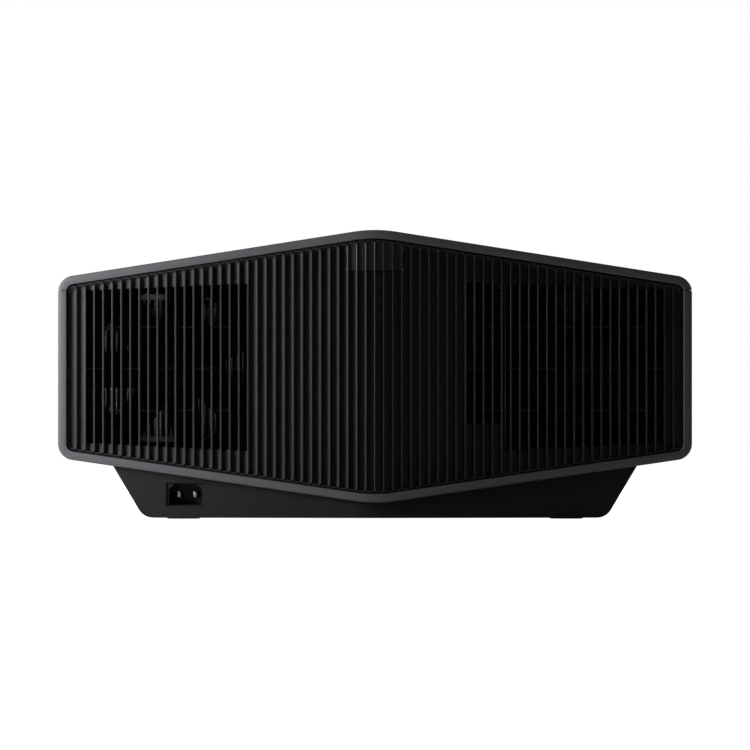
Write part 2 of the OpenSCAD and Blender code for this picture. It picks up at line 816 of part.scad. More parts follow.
// The upright guide rods and the motor of the upright screw.
module v_drive() {
    color("#c4c6c8") {
        for (sx = [-1, 1]) post(sx * v_rod_x, v_y, deck, 178, guide_r);
        post(v_screw_x, v_y, base_top + 2, 190, 8);
    }
}

module v_screw() {
    color("#b3a36a") post(v_screw_x, v_y, deck + 0.4, base_top + 1.7, v_screw_r);
}

// Rides up and down; it holds the level rods and the bearing of the level screw.
module v_carriage() {
    color("#6f7276") difference() {
        union() {
            slab(-83, 83, -139, -129, lens_z - 47.5, lens_z + 48);
            for (sx = [-1, 1], sz = [-1, 1])
                translate([sx * 78, 0, lens_z + sz * h_rod_dz]) slab(-4, 4, -129, -112, -5, 5);
            slab(60, 66, -129, -124, lens_z + 38, lens_z + 48);
            slab(60, 66, -124.5, -97, lens_z + 38, lens_z + 58);
        }
        slab(-46, 46, -140, -128, lens_z - 38, lens_z + 38);
        for (sx = [-1, 1]) post(sx * v_rod_x, v_y, 40, 180, guide_r + run);
        post(v_screw_x, v_y, 40, 180, v_screw_r + run);
        for (sz = [-1, 1]) rod_x(h_y, lens_z + sz * h_rod_dz, -83, 83, guide_r);
        rod_x(h_screw_y, h_screw_z, 59, 67, h_screw_r + run);
    }
}

// The level guide rods and the motor of the level screw; they ride on the upright carriage.
module h_drive() {
    color("#c4c6c8") {
        for (sz = [-1, 1]) rod_x(h_y, lens_z + sz * h_rod_dz, -82, 82, guide_r);
        rod_x(h_screw_y, h_screw_z, 66, 84, 8);
    }
}

module h_screw() {
    color("#b3a36a") rod_x(h_screw_y, h_screw_z, -36, 65.7, h_screw_r);
}

tail_r = 36;

module h_carriage() {
    color("#83868a") difference() {
        union() {
            slab(-44, 44, -124, -112, lens_z - 50, lens_z + 50);
            slab(-7, 7, -112.5, -98, lens_z + 42, lens_z + 56);
        }
        rod_y(0, lens_z, -130, -100, tail_r);
        for (sz = [-1, 1]) rod_x(h_y, lens_z + sz * h_rod_dz, -50, 50, guide_r + run);
        rod_x(h_screw_y, h_screw_z, -10, 10, h_screw_r + run);
    }
}

// ---- lens ----

// Spur gears of module 1: a ring's pitch radius is half its number of teeth.
focus_teeth = 100;
zoom_teeth = 84;
pinion_teeth = 12;
focus_c = (focus_teeth + pinion_teeth) / 2;
zoom_c = (zoom_teeth + pinion_teeth) / 2;
// Bearing of each pinion round the axis: a gap of the ring lies there.
focus_a = 135;
zoom_a = 45;
focus_y = [-222, -204];
zoom_y = [-198, -180];
focus_r = 45;
zoom_r = 38;
cell_r = 41.25;
bore = 31;
shaft_r = 1.5;

module on_axis() { translate([0, 0, lens_z]) children(); }

// Local frame with X pointing to a pinion's centre, at the bearing a.
module at_bearing(a) { on_axis() rotate([0, -a, 0]) children(); }

module lens_barrel() {
    color("#1a1b1d") difference() {
        union() {
            on_axis() {
                rod_y(0, 0, -240, -203, focus_r);
                rod_y(0, 0, -203.5, -199, 49);
                rod_y(0, 0, -199.5, -178, zoom_r);
                rod_y(0, 0, -178.5, -175, 42);
                rod_y(0, 0, -175.5, -96, tail_r);
                rod_y(0, 0, -128, -124, 41);
            }
            at_bearing(focus_a) slab(40, focus_c + 7, -203.5, -200.5, -8, 8);
            at_bearing(zoom_a) slab(34, zoom_c + 8, -178.5, -175.5, -8, 8);
        }
        on_axis() {
            rod_y(0, 0, -241, -214, cell_r + run);
            rod_y(0, 0, -215, -95, bore);
        }
        at_bearing(focus_a) rod_y(focus_c, 0, -205, -199, shaft_r + run);
        at_bearing(zoom_a) rod_y(zoom_c, 0, -180, -174, shaft_r + run);
    }
}

// Black disc behind the surround that hides the shift stage.
module lens_shroud() {
    color("#0e0e10") on_axis() difference() {
        rod_y(0, 0, -228, -225.5, 76);
        rod_y(0, 0, -229, -225, focus_r);
    }
}

// Straight-sided teeth, thinned for backlash.
module gear(teeth, hole_r) {
    r = teeth / 2;
    step = 360 / teeth;
    difference() {
        polygon([for (i = [0 : teeth - 1],
                      p = [[-0.29, r - 1.2], [-0.11, r + 0.85], [0.11, r + 0.85], [0.29, r - 1.2]])
                    p[1] * [cos((i + p[0]) * step), sin((i + p[0]) * step)]]);
        circle(r = hole_r, $fn = 96);
    }
}

// A grip zone in front and a toothed zone behind it.
module geared_ring(teeth, hole_r, y, grip_r) {
    split = y[1] - 8;
    on_axis() {
        difference() {
            rod_y(0, 0, y[0], split, grip_r);
            rod_y(0, 0, y[0] - 1, y[1], hole_r);
        }
        translate([0, split, 0]) rotate([-90, 0, 0]) linear_extrude(height = 8)
            gear(teeth, hole_r);
    }
}

module focus_ring() {
    color("#26272a") geared_ring(focus_teeth, focus_r + run, focus_y, 49);
}

module zoom_ring() {
    color("#26272a") geared_ring(zoom_teeth, zoom_r + run, zoom_y, 41);
}

module pinion(bearing, centre, back) {
    color("#d9d2bd") at_bearing(bearing) translate([centre, back - 7.5, 0]) {
        rotate([-90, 0, 0]) linear_extrude(height = 7) gear(pinion_teeth, 1);
        rod_y(0, 0, 0, 12.7, shaft_r);
    }
}

module lens_motors() {
    color("#a4a6a8") {
        at_bearing(focus_a) rod_y(focus_c, 0, -198.7, -176, 7.5);
        at_bearing(zoom_a) rod_y(zoom_c, 0, -174.7, -154, 7.5);
    }
}

module front_cell() {
    color("#141416") on_axis() difference() {
        rod_y(0, 0, -246, -219, cell_r);
        rod_y(0, 0, -247, -243, 39.4);
        rod_y(0, 0, -248, -218, 36);
    }
}

// A meniscus: front radius 90, back radius 120, on the axis 9 thick.
module front_lens() {
    steps = 12;
    edge = 35.95;
    front = 90;
    back = 120;
    sag = function(r, x) r - sqrt(r * r - x * x);
    color("#9fb4c8") on_axis() rotate([-90, 0, 0]) rotate_extrude($fn = 96)
        polygon([for (i = [0 : steps]) [edge * i / steps, -243 + sag(front, edge * i / steps)],
                 for (i = [steps : -1 : 0]) [edge * i / steps, -234 + sag(back, edge * i / steps)]]);
}

// The moving zoom group inside the barrel.
module zoom_cell() {
    color("#5d6064") on_axis() difference() {
        rod_y(0, 0, -180, -152, bore - run);
        rod_y(0, 0, -181, -172, 25);
        rod_y(0, 0, -160, -151, 25);
    }
}

top_cover();
lower_case();
base_cover();
rear_grille();
front_half(-1);  // front_grille_left
front_half(1);  // front_grille_right
ir_windows();
lens_bezel();
chassis_plate();
screws();
foot_pad(-1);  // foot_pad_left
foot_dial(-1);  // foot_dial_left
foot_pad(1);  // foot_pad_right
foot_dial(1);  // foot_dial_right
rear_feet();
mains_inlet();
inlet_pins();
io_panel();
metal_sockets();
trigger_jacks();
keypad_panel();
key(power_key);  // power_button
key(input_key);  // input_button
key(menu_key);  // menu_button
key(enter_key);  // enter_button
key(up_key);  // up_button
key(down_key);  // down_button
key(left_key);  // left_button
key(right_key);  // right_button
status_lens();
filter_cover();
air_filter();
fan_brackets();
fan_frames();
fan_rotor(fan_x[0]);  // fan_rotor_left
fan_rotor(fan_x[1]);  // fan_rotor_right
main_board();
power_supply();
laser_module();
heat_pipes();
heat_sink();
optical_housing();
imager_block();
shift_base();
v_drive();
v_screw();
v_carriage();
h_drive();
h_screw();
h_carriage();
lens_barrel();
lens_shroud();
zoom_ring();
zoom_cell();
pinion(zoom_a, zoom_c, zoom_y[1]);  // zoom_pinion
focus_ring();
pinion(focus_a, focus_c, focus_y[1]);  // focus_pinion
front_cell();
front_lens();
lens_motors();
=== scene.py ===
"""Looks of the home cinema projector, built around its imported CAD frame.

Lengths in this file are millimetres unless a name says otherwise; meshes are made in metres.
The back of the projector faces +Y, the lens looks along -Y, and +Z is up.
"""

import json
import math

import bmesh
import bpy
from mathutils import Matrix, Vector


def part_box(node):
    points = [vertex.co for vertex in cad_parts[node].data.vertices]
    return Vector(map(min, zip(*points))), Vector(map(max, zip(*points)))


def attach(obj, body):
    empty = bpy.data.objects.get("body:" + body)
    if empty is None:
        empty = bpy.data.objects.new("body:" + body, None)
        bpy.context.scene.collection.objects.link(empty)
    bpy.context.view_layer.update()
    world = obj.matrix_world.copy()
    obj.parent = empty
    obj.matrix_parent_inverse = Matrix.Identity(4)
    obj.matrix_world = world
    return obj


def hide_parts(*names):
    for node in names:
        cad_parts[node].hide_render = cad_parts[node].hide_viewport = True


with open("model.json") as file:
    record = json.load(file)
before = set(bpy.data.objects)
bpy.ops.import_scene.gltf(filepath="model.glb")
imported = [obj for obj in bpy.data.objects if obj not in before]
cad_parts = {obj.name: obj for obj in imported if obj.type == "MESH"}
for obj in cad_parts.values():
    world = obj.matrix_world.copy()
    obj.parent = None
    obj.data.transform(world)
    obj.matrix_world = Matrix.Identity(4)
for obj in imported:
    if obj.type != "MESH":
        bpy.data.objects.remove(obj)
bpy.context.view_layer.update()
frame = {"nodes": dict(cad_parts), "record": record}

MM = 0.001

# ---- sizes shared with the CAD ----

HALF_W = 230.0
HALF_D = 258.5          # to the rounded ridge of the rear face
SIDE_TOP = 175.4        # where the sides would meet the top and bottom without a rounding
SIDE_BOTTOM = 44.8
TOP_SLOPE = 0.155       # rise per millimetre towards the middle plane
BOTTOM_SLOPE = 0.144
VEE_SLOPE = 0.155
SEAM_Z = 166.4
SEAM_GAP = 0.4
RIM = 6.2               # width of the rim round each end
RIM_LEN = 12.0
WALL = 3.0
LAP = 1.4
CORNER_R = 12.0
RIDGE_R = 100.0
FRONT_SHORT = 6.0       # the front ridge lies this much nearer the middle than the rear one
RIB_PITCH = 6.572
RIB_W = 1.5
FLOOR_DEPTH = 3.8       # beside a rib's face
RAMP_DEPTH = 5.0        # at the next rib's wall
BLADE_DEPTH = 12.0
GROOVE = 1.1            # between the rim and the ribbed panel
TIP_IN = 2.0            # the ribs' faces lie this far inside the end face
FLOOR_BACK = 10.0
RIBS = 33               # on each side of the middle rib
LENS_Z = 110.5
RING_OUT = 78.3         # radius of the hole round the lens surround
TIE_STEP = 30.2
REAR_IR_Z = 180.6       # lower edge of each remote-control window
FRONT_IR_Z = 189.6
# bays in the sides: from and to in Y, from and to in Z
IO_BAY = (-34.0, 150.0, 58.0, 104.0)
KEY_BAY = (6.0, 128.0, 114.0, 158.0)
DRAWER = (-205.0, -183.0, 56.0, 162.0)

VEE_A = math.atan(VEE_SLOPE)
TOP_A = math.atan(TOP_SLOPE)
LOW_A = math.atan(BOTTOM_SLOPE)
REAR_RIDGE = HALF_D + RIDGE_R * (1 / math.cos(VEE_A) - 1)
FRONT_RIDGE = REAR_RIDGE - FRONT_SHORT
CORNER_X = HALF_W - CORNER_R
TOP_APEX = SIDE_TOP + HALF_W * TOP_SLOPE
LOW_APEX = SIDE_BOTTOM - HALF_W * BOTTOM_SLOPE
TOP_CORNER_Z = TOP_APEX - CORNER_R / math.cos(TOP_A) - TOP_SLOPE * CORNER_X
LOW_CORNER_Z = LOW_APEX + CORNER_R / math.cos(LOW_A) + BOTTOM_SLOPE * CORNER_X
TOP_RIDGE_Z = TOP_APEX - RIDGE_R / math.cos(TOP_A)
LOW_RIDGE_Z = LOW_APEX + RIDGE_R / math.cos(LOW_A)


def vee_y(ridge, x, d):
    """Y of an end face at x, inset by d."""
    x = abs(x)
    if x >= (RIDGE_R - d) * math.sin(VEE_A):
        return ridge - d / math.cos(VEE_A) - VEE_SLOPE * x
    return ridge - RIDGE_R / math.cos(VEE_A) + math.sqrt((RIDGE_R - d) ** 2 - x * x)


def outline_z(x, d):
    """Lowest and highest Z of the sleeve's outline, inset by d, at x."""
    x = min(abs(x), HALF_W - d)
    r = max(CORNER_R - d, 1.0)
    beyond = x - (HALF_W - d - r)
    ends = []
    for sign, apex, slope, angle, corner_z, ridge_z in (
        (-1, LOW_APEX, BOTTOM_SLOPE, LOW_A, LOW_CORNER_Z, LOW_RIDGE_Z),
        (1, TOP_APEX, TOP_SLOPE, TOP_A, TOP_CORNER_Z, TOP_RIDGE_Z),
    ):
        if beyond > r * math.sin(angle):
            z = corner_z + sign * math.sqrt(max(r * r - beyond * beyond, 0.0))
        elif x < (RIDGE_R - d) * math.sin(angle):
            z = ridge_z + sign * math.sqrt((RIDGE_R - d) ** 2 - x * x)
        else:
            z = apex - sign * (d / math.cos(angle) + slope * x)
        ends.append(z)
    return ends


def spread(a, b, steps):
    """Evenly spaced values from a to b."""
    return [a + (b - a) * i / steps for i in range(steps + 1)]


# ---- meshes ----

SHARP = math.radians(32)
SAME = 1e-6             # metres: points nearer than this are one point


def shade(bm):
    """Smooth faces, with the edges that bend more than SHARP left sharp."""
    bm.normal_update()
    for f in bm.faces:
        f.smooth = True
    for e in bm.edges:
        e.smooth = len(e.link_faces) == 2 and e.calc_face_angle(math.pi) < SHARP


def piece(name, bm, body, slot, *nodes):
    """Makes the mesh an object that rides on body and stands for the CAD nodes."""
    shade(bm)
    mesh = bpy.data.meshes.new(name)
    bm.to_mesh(mesh)
    bm.free()
    mesh.materials.append(MATERIALS[slot])
    ob = bpy.data.objects.new(name, mesh)
    bpy.context.scene.collection.objects.link(ob)
    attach(ob, body)
    if nodes:
        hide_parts(*nodes)
    return ob


def grid_block(bm, front, back):
    """A closed solid between two grids of points, front[i][k] and back[i][k]."""
    ni, nk = len(front), len(front[0])
    f = [[bm.verts.new(Vector(p) * MM) for p in row] for row in front]
    b = [[bm.verts.new(Vector(p) * MM) for p in row] for row in back]
    made = []

    def quad(*vs):
        made.append(bm.faces.new(vs))

    for i in range(ni - 1):
        for k in range(nk - 1):
            quad(f[i][k], f[i + 1][k], f[i + 1][k + 1], f[i][k + 1])
            quad(b[i][k], b[i][k + 1], b[i + 1][k + 1], b[i + 1][k])
        for k in (0, nk - 1):
            vs = (f[i][k], b[i][k], b[i + 1][k], f[i + 1][k])
            quad(*(vs if k == 0 else vs[::-1]))
    for k in range(nk - 1):
        for i in (0, ni - 1):
            vs = (f[i][k], f[i][k + 1], b[i][k + 1], b[i][k])
            quad(*(vs if i == 0 else vs[::-1]))
    bmesh.ops.recalc_face_normals(bm, faces=made)


def box(bm, x0, x1, y0, y1, z0, z1):
    """A block between two places on each axis."""
    grid_block(
        bm,
        [[(x, y1, z) for z in (z0, z1)] for x in (x0, x1)],
        [[(x, y0, z) for z in (z0, z1)] for x in (x0, x1)],
    )


# ---- materials ----


MIDDLE = (0.3, 0.7)     # most of a noise lies in this range


class Graph:
    """A material's node graph round one Principled shader."""

    def __init__(self, name):
        self.material = bpy.data.materials.new(name)
        self.material.use_nodes = True
        self.tree = self.material.node_tree
        self.tree.nodes.clear()
        out = self.add("ShaderNodeOutputMaterial")
        self.shader = self.add("ShaderNodeBsdfPrincipled")
        self.link(self.shader.outputs[0], out.inputs[0])
        self.where = self.add("ShaderNodeTexCoord").outputs["Object"]

    def add(self, kind, **values):
        node = self.tree.nodes.new(kind)
        for key, value in values.items():
            setattr(node, key, value)
        return node

    def link(self, a, b):
        self.tree.links.new(a, b)

    def stretched(self, *scale):
        """Object coordinates scaled along each axis."""
        node = self.add("ShaderNodeMapping")
        node.inputs["Scale"].default_value = scale
        self.link(self.where, node.inputs["Vector"])
        return node.outputs[0]

    def noise(self, size_mm, detail=2.0, rough=0.5, where=None):
        """A noise from 0 to 1 with features of about the given size."""
        node = self.add("ShaderNodeTexNoise")
        node.inputs["Scale"].default_value = 1 / (size_mm * MM)
        node.inputs["Detail"].default_value = detail
        node.inputs["Roughness"].default_value = rough
        self.link(where or self.where, node.inputs["Vector"])
        return node.outputs["Fac"]

    def span(self, fac, lo, hi, start=0.0, end=1.0):
        """Maps fac from start..end to lo..hi, and stays within them."""
        node = self.add("ShaderNodeMapRange")
        self.link(fac, node.inputs["Value"])
        for key, value in (("From Min", start), ("From Max", end), ("To Min", lo), ("To Max", hi)):
            node.inputs[key].default_value = value
        return node.outputs[0]

    def math(self, operation, a, b):
        node = self.add("ShaderNodeMath", operation=operation)
        for socket, value in zip(node.inputs, (a, b)):
            if isinstance(value, (int, float)):
                socket.default_value = value
            else:
                self.link(value, socket)
        return node.outputs[0]

    def blend(self, fac, a, b):
        """A color between a and b; each is a tuple or another node's output."""
        node = self.add("ShaderNodeMix", data_type="RGBA")
        self.link(fac, node.inputs[0])
        for socket, value in ((node.inputs[6], a), (node.inputs[7], b)):
            if isinstance(value, tuple):
                socket.default_value = (*value, 1.0)
            else:
                self.link(value, socket)
        return node.outputs[2]

    def bump(self, height, depth_mm):
        node = self.add("ShaderNodeBump")
        node.inputs["Strength"].default_value = 1.0
        node.inputs["Distance"].default_value = depth_mm * MM
        self.link(height, node.inputs["Height"])
        return node.outputs[0]

    def set(self, **sockets):
        """Sets the shader's sockets, named with _ for a space."""
        for key, value in sockets.items():
            socket = self.shader.inputs[key.replace("_", " ")]
            if isinstance(value, (int, float)):
                socket.default_value = value
            elif isinstance(value, tuple):
                socket.default_value = (*value, 1.0)
            else:
                self.link(value, socket)


def shifted(color, factor):
    """The color made lighter or darker by a factor."""
    return tuple(min(c * factor, 1.0) for c in color)


def plastic(name, color, rough, grain=0.5, depth=0.02, vary=0.16, specular=0.5):
    """Moulded plastic: soft mottling, a spark-eroded grain and faint handling marks.

    grain is the grain's size and depth its height; vary is how far the color strays.
    """
    g = Graph(name)
    cloud = g.noise(38.0, detail=3.0, rough=0.55)
    fine = g.noise(grain, detail=3.0, rough=0.6)
    smear = g.noise(7.0, detail=4.0, rough=0.6)
    tone = g.math("ADD", g.span(cloud, -vary / 4, vary / 4, *MIDDLE),
                  g.span(fine, -vary, vary, *MIDDLE))
    g.set(
        Base_Color=g.blend(g.span(tone, 0.0, 1.0, -2 * vary, 2 * vary),
                           shifted(color, 1 - 2 * vary), shifted(color, 1 + 2 * vary)),
        Roughness=g.math("ADD", g.span(smear, rough - 0.025, rough + 0.025, *MIDDLE),
                         g.span(fine, -0.04, 0.04, *MIDDLE)),
        Normal=g.bump(fine, depth),
        Specular_IOR_Level=specular,
    )
    return g.material


def metal(name, color, rough, grain=0.25, depth=0.004, axis=(1.0, 1.0, 1.0), vary=0.08):
    """Metal with drawing or machining marks along the axis that has the smallest scale.

    grain is the marks' size and depth their height; vary is how far the color strays.
    """
    g = Graph(name)
    marks = g.noise(grain, detail=3.0, rough=0.65, where=g.stretched(*axis))
    cloud = g.noise(22.0, detail=3.0, rough=0.6)
    g.set(
        Base_Color=g.blend(cloud, shifted(color, 1 - 2 * vary), shifted(color, 1 + 2 * vary)),
        Roughness=g.math("ADD", g.span(marks, rough - 0.08, rough + 0.08, 0.25, 0.75),
                         g.span(cloud, -0.05, 0.05, *MIDDLE)),
        Normal=g.bump(marks, depth),
        Metallic=1.0,
    )
    return g.material


def board(name, color, trace):
    """Printed circuit board: solder mask over copper tracks, with pads."""
    g = Graph(name)
    cells = g.add("ShaderNodeTexBrick")
    cells.inputs["Scale"].default_value = 1 / (9.0 * MM)
    cells.inputs["Mortar Size"].default_value = 0.05
    for key, value in (("Color1", 0.0), ("Color2", 0.25), ("Mortar", 1.0)):
        cells.inputs[key].default_value = (value, value, value, 1.0)
    g.link(g.where, cells.inputs["Vector"])
    dots = g.add("ShaderNodeTexVoronoi", feature="F1")
    dots.inputs["Scale"].default_value = 1 / (5.0 * MM)
    g.link(g.where, dots.inputs["Vector"])
    pads = g.span(dots.outputs["Distance"], 1.0, 0.0, 0.16, 0.2)
    tracks = g.math("MAXIMUM", cells.outputs["Fac"], pads)
    grime = g.noise(12.0, detail=4.0)
    lit = g.blend(g.span(tracks, 0.0, 0.75), color, trace)
    g.set(
        Base_Color=g.blend(g.span(grime, 0.0, 0.35, 0.45, 0.8), lit, shifted(color, 0.5)),
        Roughness=g.span(grime, 0.3, 0.5, *MIDDLE),
        Normal=g.bump(tracks, 0.03),
    )
    return g.material


def pleats(name, color):
    """Filter medium: soft fibres with dust caught in them."""
    g = Graph(name)
    fibre = g.noise(0.35, detail=4.0, rough=0.7, where=g.stretched(0.3, 1.0, 1.0))
    dust = g.noise(14.0, detail=5.0, rough=0.6)
    g.set(
        Base_Color=g.blend(g.span(dust, 0.0, 1.0, 0.4, 0.75), color, shifted(color, 0.55)),
        Roughness=g.span(fibre, 0.8, 0.98, *MIDDLE),
        Normal=g.bump(fibre, 0.12),
        Sheen_Weight=0.25,
    )
    return g.material


def gloss(name, color, rough, coat):
    """Polished plastic or coated glass with faint smears."""
    g = Graph(name)
    smear = g.noise(6.0, detail=5.0, rough=0.6)
    speck = g.noise(0.6, detail=2.0)
    g.set(
        Base_Color=g.blend(smear, shifted(color, 0.85), shifted(color, 1.15)),
        Roughness=g.math("ADD", g.span(smear, rough * 0.6, rough * 1.4, *MIDDLE),
                         g.span(speck, 0.0, 0.02, 0.6, 0.8)),
        Normal=g.bump(speck, 0.0008),
        Coat_Weight=coat,
        Coat_Roughness=0.03,
    )
    return g.material


LOOKS = {
    "case_black": (plastic, dict(color=(0.054, 0.055, 0.0605), rough=0.46, grain=1.0, depth=0.09,
                                 vary=0.17)),
    "grille_black": (plastic, dict(color=(0.0128, 0.0129, 0.0158), rough=0.48, grain=0.45,
                                   depth=0.012, vary=0.08, specular=0.3)),
    "plinth_black": (plastic, dict(color=(0.0047, 0.0051, 0.0064), rough=0.5, grain=0.6,
                                   depth=0.02, vary=0.12, specular=0.22)),
    "ir_black": (plastic, dict(color=(0.012, 0.012, 0.016), rough=0.36, grain=0.5, depth=0.004,
                               vary=0.05)),
    "bezel_black": (plastic, dict(color=(0.03, 0.031, 0.034), rough=0.36, grain=0.5, depth=0.012,
                                  vary=0.08)),
    "sheet_steel": (metal, dict(color=(0.52, 0.53, 0.54), rough=0.38, grain=0.6, depth=0.006,
                                axis=(0.08, 1.0, 1.0))),
    "screw_steel": (metal, dict(color=(0.3, 0.3, 0.31), rough=0.34, grain=0.2, depth=0.004)),
    "foot_rubber": (plastic, dict(color=(0.014, 0.014, 0.014), rough=0.82, grain=0.9, depth=0.05,
                                  vary=0.2)),
    "dial_plastic": (plastic, dict(color=(0.05, 0.051, 0.054), rough=0.45, grain=0.5, depth=0.02,
                                   vary=0.1)),
    "inlet_black": (plastic, dict(color=(0.004, 0.004, 0.0043), rough=0.42, grain=0.5, depth=0.02,
                                  vary=0.1, specular=0.25)),
    "pin_nickel": (metal, dict(color=(0.34, 0.33, 0.31), rough=0.3, grain=0.3, depth=0.002,
                               axis=(1.0, 0.1, 1.0))),
    "panel_black": (plastic, dict(color=(0.03, 0.031, 0.034), rough=0.48, grain=0.5, depth=0.02,
                                  vary=0.1)),
    "socket_steel": (metal, dict(color=(0.6, 0.6, 0.59), rough=0.3, grain=0.35, depth=0.003,
                                 axis=(0.1, 1.0, 1.0))),
    "jack_black": (plastic, dict(color=(0.02, 0.02, 0.021), rough=0.4, grain=0.5, depth=0.015,
                                 vary=0.1)),
    "key_black": (plastic, dict(color=(0.045, 0.046, 0.05), rough=0.4, grain=0.4, depth=0.012,
                                vary=0.1)),
    "led_clear": (gloss, dict(color=(0.5, 0.55, 0.6), rough=0.1, coat=0.5)),
    "filter_grey": (pleats, dict(color=(0.3, 0.31, 0.32))),
    "fan_black": (plastic, dict(color=(0.008, 0.008, 0.0092), rough=0.68, grain=0.5, depth=0.015,
                                vary=0.12, specular=0.15)),
    "board_green": (board, dict(color=(0.015, 0.09, 0.04), trace=(0.05, 0.2, 0.09))),
    "board_brown": (board, dict(color=(0.11, 0.075, 0.03), trace=(0.2, 0.15, 0.07))),
    "copper": (metal, dict(color=(0.62, 0.3, 0.17), rough=0.32, grain=0.5, depth=0.004,
                           axis=(1.0, 0.1, 1.0), vary=0.12)),
    "fin_aluminium": (metal, dict(color=(0.7, 0.71, 0.72), rough=0.36, grain=0.5, depth=0.004,
                                  axis=(1.0, 1.0, 0.1))),
    "engine_grey": (plastic, dict(color=(0.055, 0.057, 0.062), rough=0.55, grain=0.9, depth=0.06,
                                  vary=0.15)),
    "imager_glass": (gloss, dict(color=(0.16, 0.22, 0.3), rough=0.08, coat=0.6)),
    "cast_grey": (metal, dict(color=(0.42, 0.43, 0.44), rough=0.5, grain=0.7, depth=0.012)),
    "rod_steel": (metal, dict(color=(0.45, 0.46, 0.47), rough=0.34, grain=0.3, depth=0.002,
                              axis=(0.2, 0.2, 1.0), vary=0.04)),
    "screw_brass": (metal, dict(color=(0.52, 0.4, 0.18), rough=0.3, grain=0.4, depth=0.01,
                                axis=(0.3, 0.3, 1.0))),
    "lens_black": (metal, dict(color=(0.03, 0.03, 0.033), rough=0.38, grain=0.3, depth=0.004,
                               axis=(1.0, 1.0, 0.2))),
    "shroud_black": (plastic, dict(color=(0.008, 0.008, 0.009), rough=0.7, grain=0.6, depth=0.03,
                                   vary=0.12)),
    "gear_nylon": (plastic, dict(color=(0.6, 0.56, 0.45), rough=0.5, grain=0.7, depth=0.015,
                                 vary=0.05)),
    "lens_glass": (gloss, dict(color=(0.012, 0.014, 0.03), rough=0.02, coat=1.0)),
}
MATERIALS = {name: make(name, **values) for name, (make, values) in LOOKS.items()}

for node in frame["record"]["subparts"]:
    cad = frame["nodes"][node["node"]]
    cad.data.materials.clear()
    cad.data.materials.append(MATERIALS[node["material_slot"]])


# ---- sleeve ----

SIDE_BAYS = [(1, *IO_BAY), (1, *KEY_BAY), (-1, *DRAWER)]
# the side walls are cut at the bays' edges, so that whole faces can be left out
SIDE_Y = sorted((y for bay in SIDE_BAYS for y in bay[1:3]), reverse=True)
SIDE_Z = sorted((z for bay in SIDE_BAYS for z in bay[3:5]), reverse=True)
RIM_INNER_R = 0.6
RIM_OUTER_R = 1.0
CORNER_STEPS = 14
RIDGE_STEPS = 7
SEAM_STEPS = 2          # from the seam down to the side
ROUND_STEPS = 4


def mirrored(half):
    """The whole outline from its right half, which ends on the middle plane."""
    return half + [(-x, z) for x, z in reversed(half[:-1])]


def bend(x, z, r, angles, up=1):
    """Points on an arc round (x, z), above it or, with up = -1, below it."""
    return [(x + r * math.cos(a), z + up * r * math.sin(a)) for a in angles]


def seam_angle(edge_z, r):
    """Where an arc of radius r round the top corner's centre reaches the seam's edge."""
    return math.asin((edge_z - TOP_CORNER_Z) / r)


def upper_outline(d):
    """The top cover's outline, inset by d, from seam to seam."""
    r = CORNER_R - d
    slope = math.pi / 2 - TOP_A
    start = seam_angle(SEAM_Z + SEAM_GAP / 2, r)
    half = bend(CORNER_X, TOP_CORNER_Z, r, spread(start, slope, CORNER_STEPS))
    half += bend(0.0, TOP_RIDGE_Z, RIDGE_R - d, spread(slope, math.pi / 2, RIDGE_STEPS))
    return mirrored(half)


def lower_outline(d):
    """The lower case's outline, inset by d, from seam to seam."""
    r = CORNER_R - d
    slope = math.pi / 2 - LOW_A
    start = seam_angle(SEAM_Z - SEAM_GAP / 2, r)
    half = bend(CORNER_X, TOP_CORNER_Z, r, spread(start, 0.0, SEAM_STEPS))
    half += [(HALF_W - d, z) for z in SIDE_Z]
    half += bend(CORNER_X, LOW_CORNER_Z, r, spread(0.0, slope, CORNER_STEPS), -1)
    half += bend(0.0, LOW_RIDGE_Z, RIDGE_R - d, spread(slope, math.pi / 2, RIDGE_STEPS), -1)
    return mirrored(half)


def rounding(r, d0=0.0, outwards=True):
    """Inset and depth of points round an edge of radius r; d0 is the inset of the wall."""
    points = [(r * (1 - math.sin(a)), r * (1 - math.cos(a)))
              for a in spread(0.0, math.pi / 2, ROUND_STEPS)]
    return points if outwards else [(d0 - d, e) for d, e in reversed(points)]


def sleeve_stations():
    """The closed path round the sleeve's wall: (inset, end, depth or Y)."""
    rim = rounding(RIM_INNER_R, RIM, False) + rounding(RIM_OUTER_R)
    rear = [(RIM, "rear", RIM_LEN)] + [(d, "rear", e) for d, e in rim]
    front = [(d, "front", e) for d, e in reversed(rim)]
    front += [(RIM, "front", RIM_LEN), (WALL, "front", RIM_LEN)]
    outer = [(0.0, "at", y) for y in SIDE_Y]
    inner = [(WALL, "at", y) for y in reversed(SIDE_Y)]
    return rear + outer + front + inner + [(WALL, "rear", RIM_LEN)]


def sleeve_ring(outline, station):
    """The points of the outline at one station."""
    d, end, value = station
    points = []
    for x, z in outline(d):
        if end == "at":
            y = value
        else:
            y = vee_y(REAR_RIDGE, x, value) if end == "rear" else -vee_y(FRONT_RIDGE, x, value)
        points.append((x, y, z))
    return points


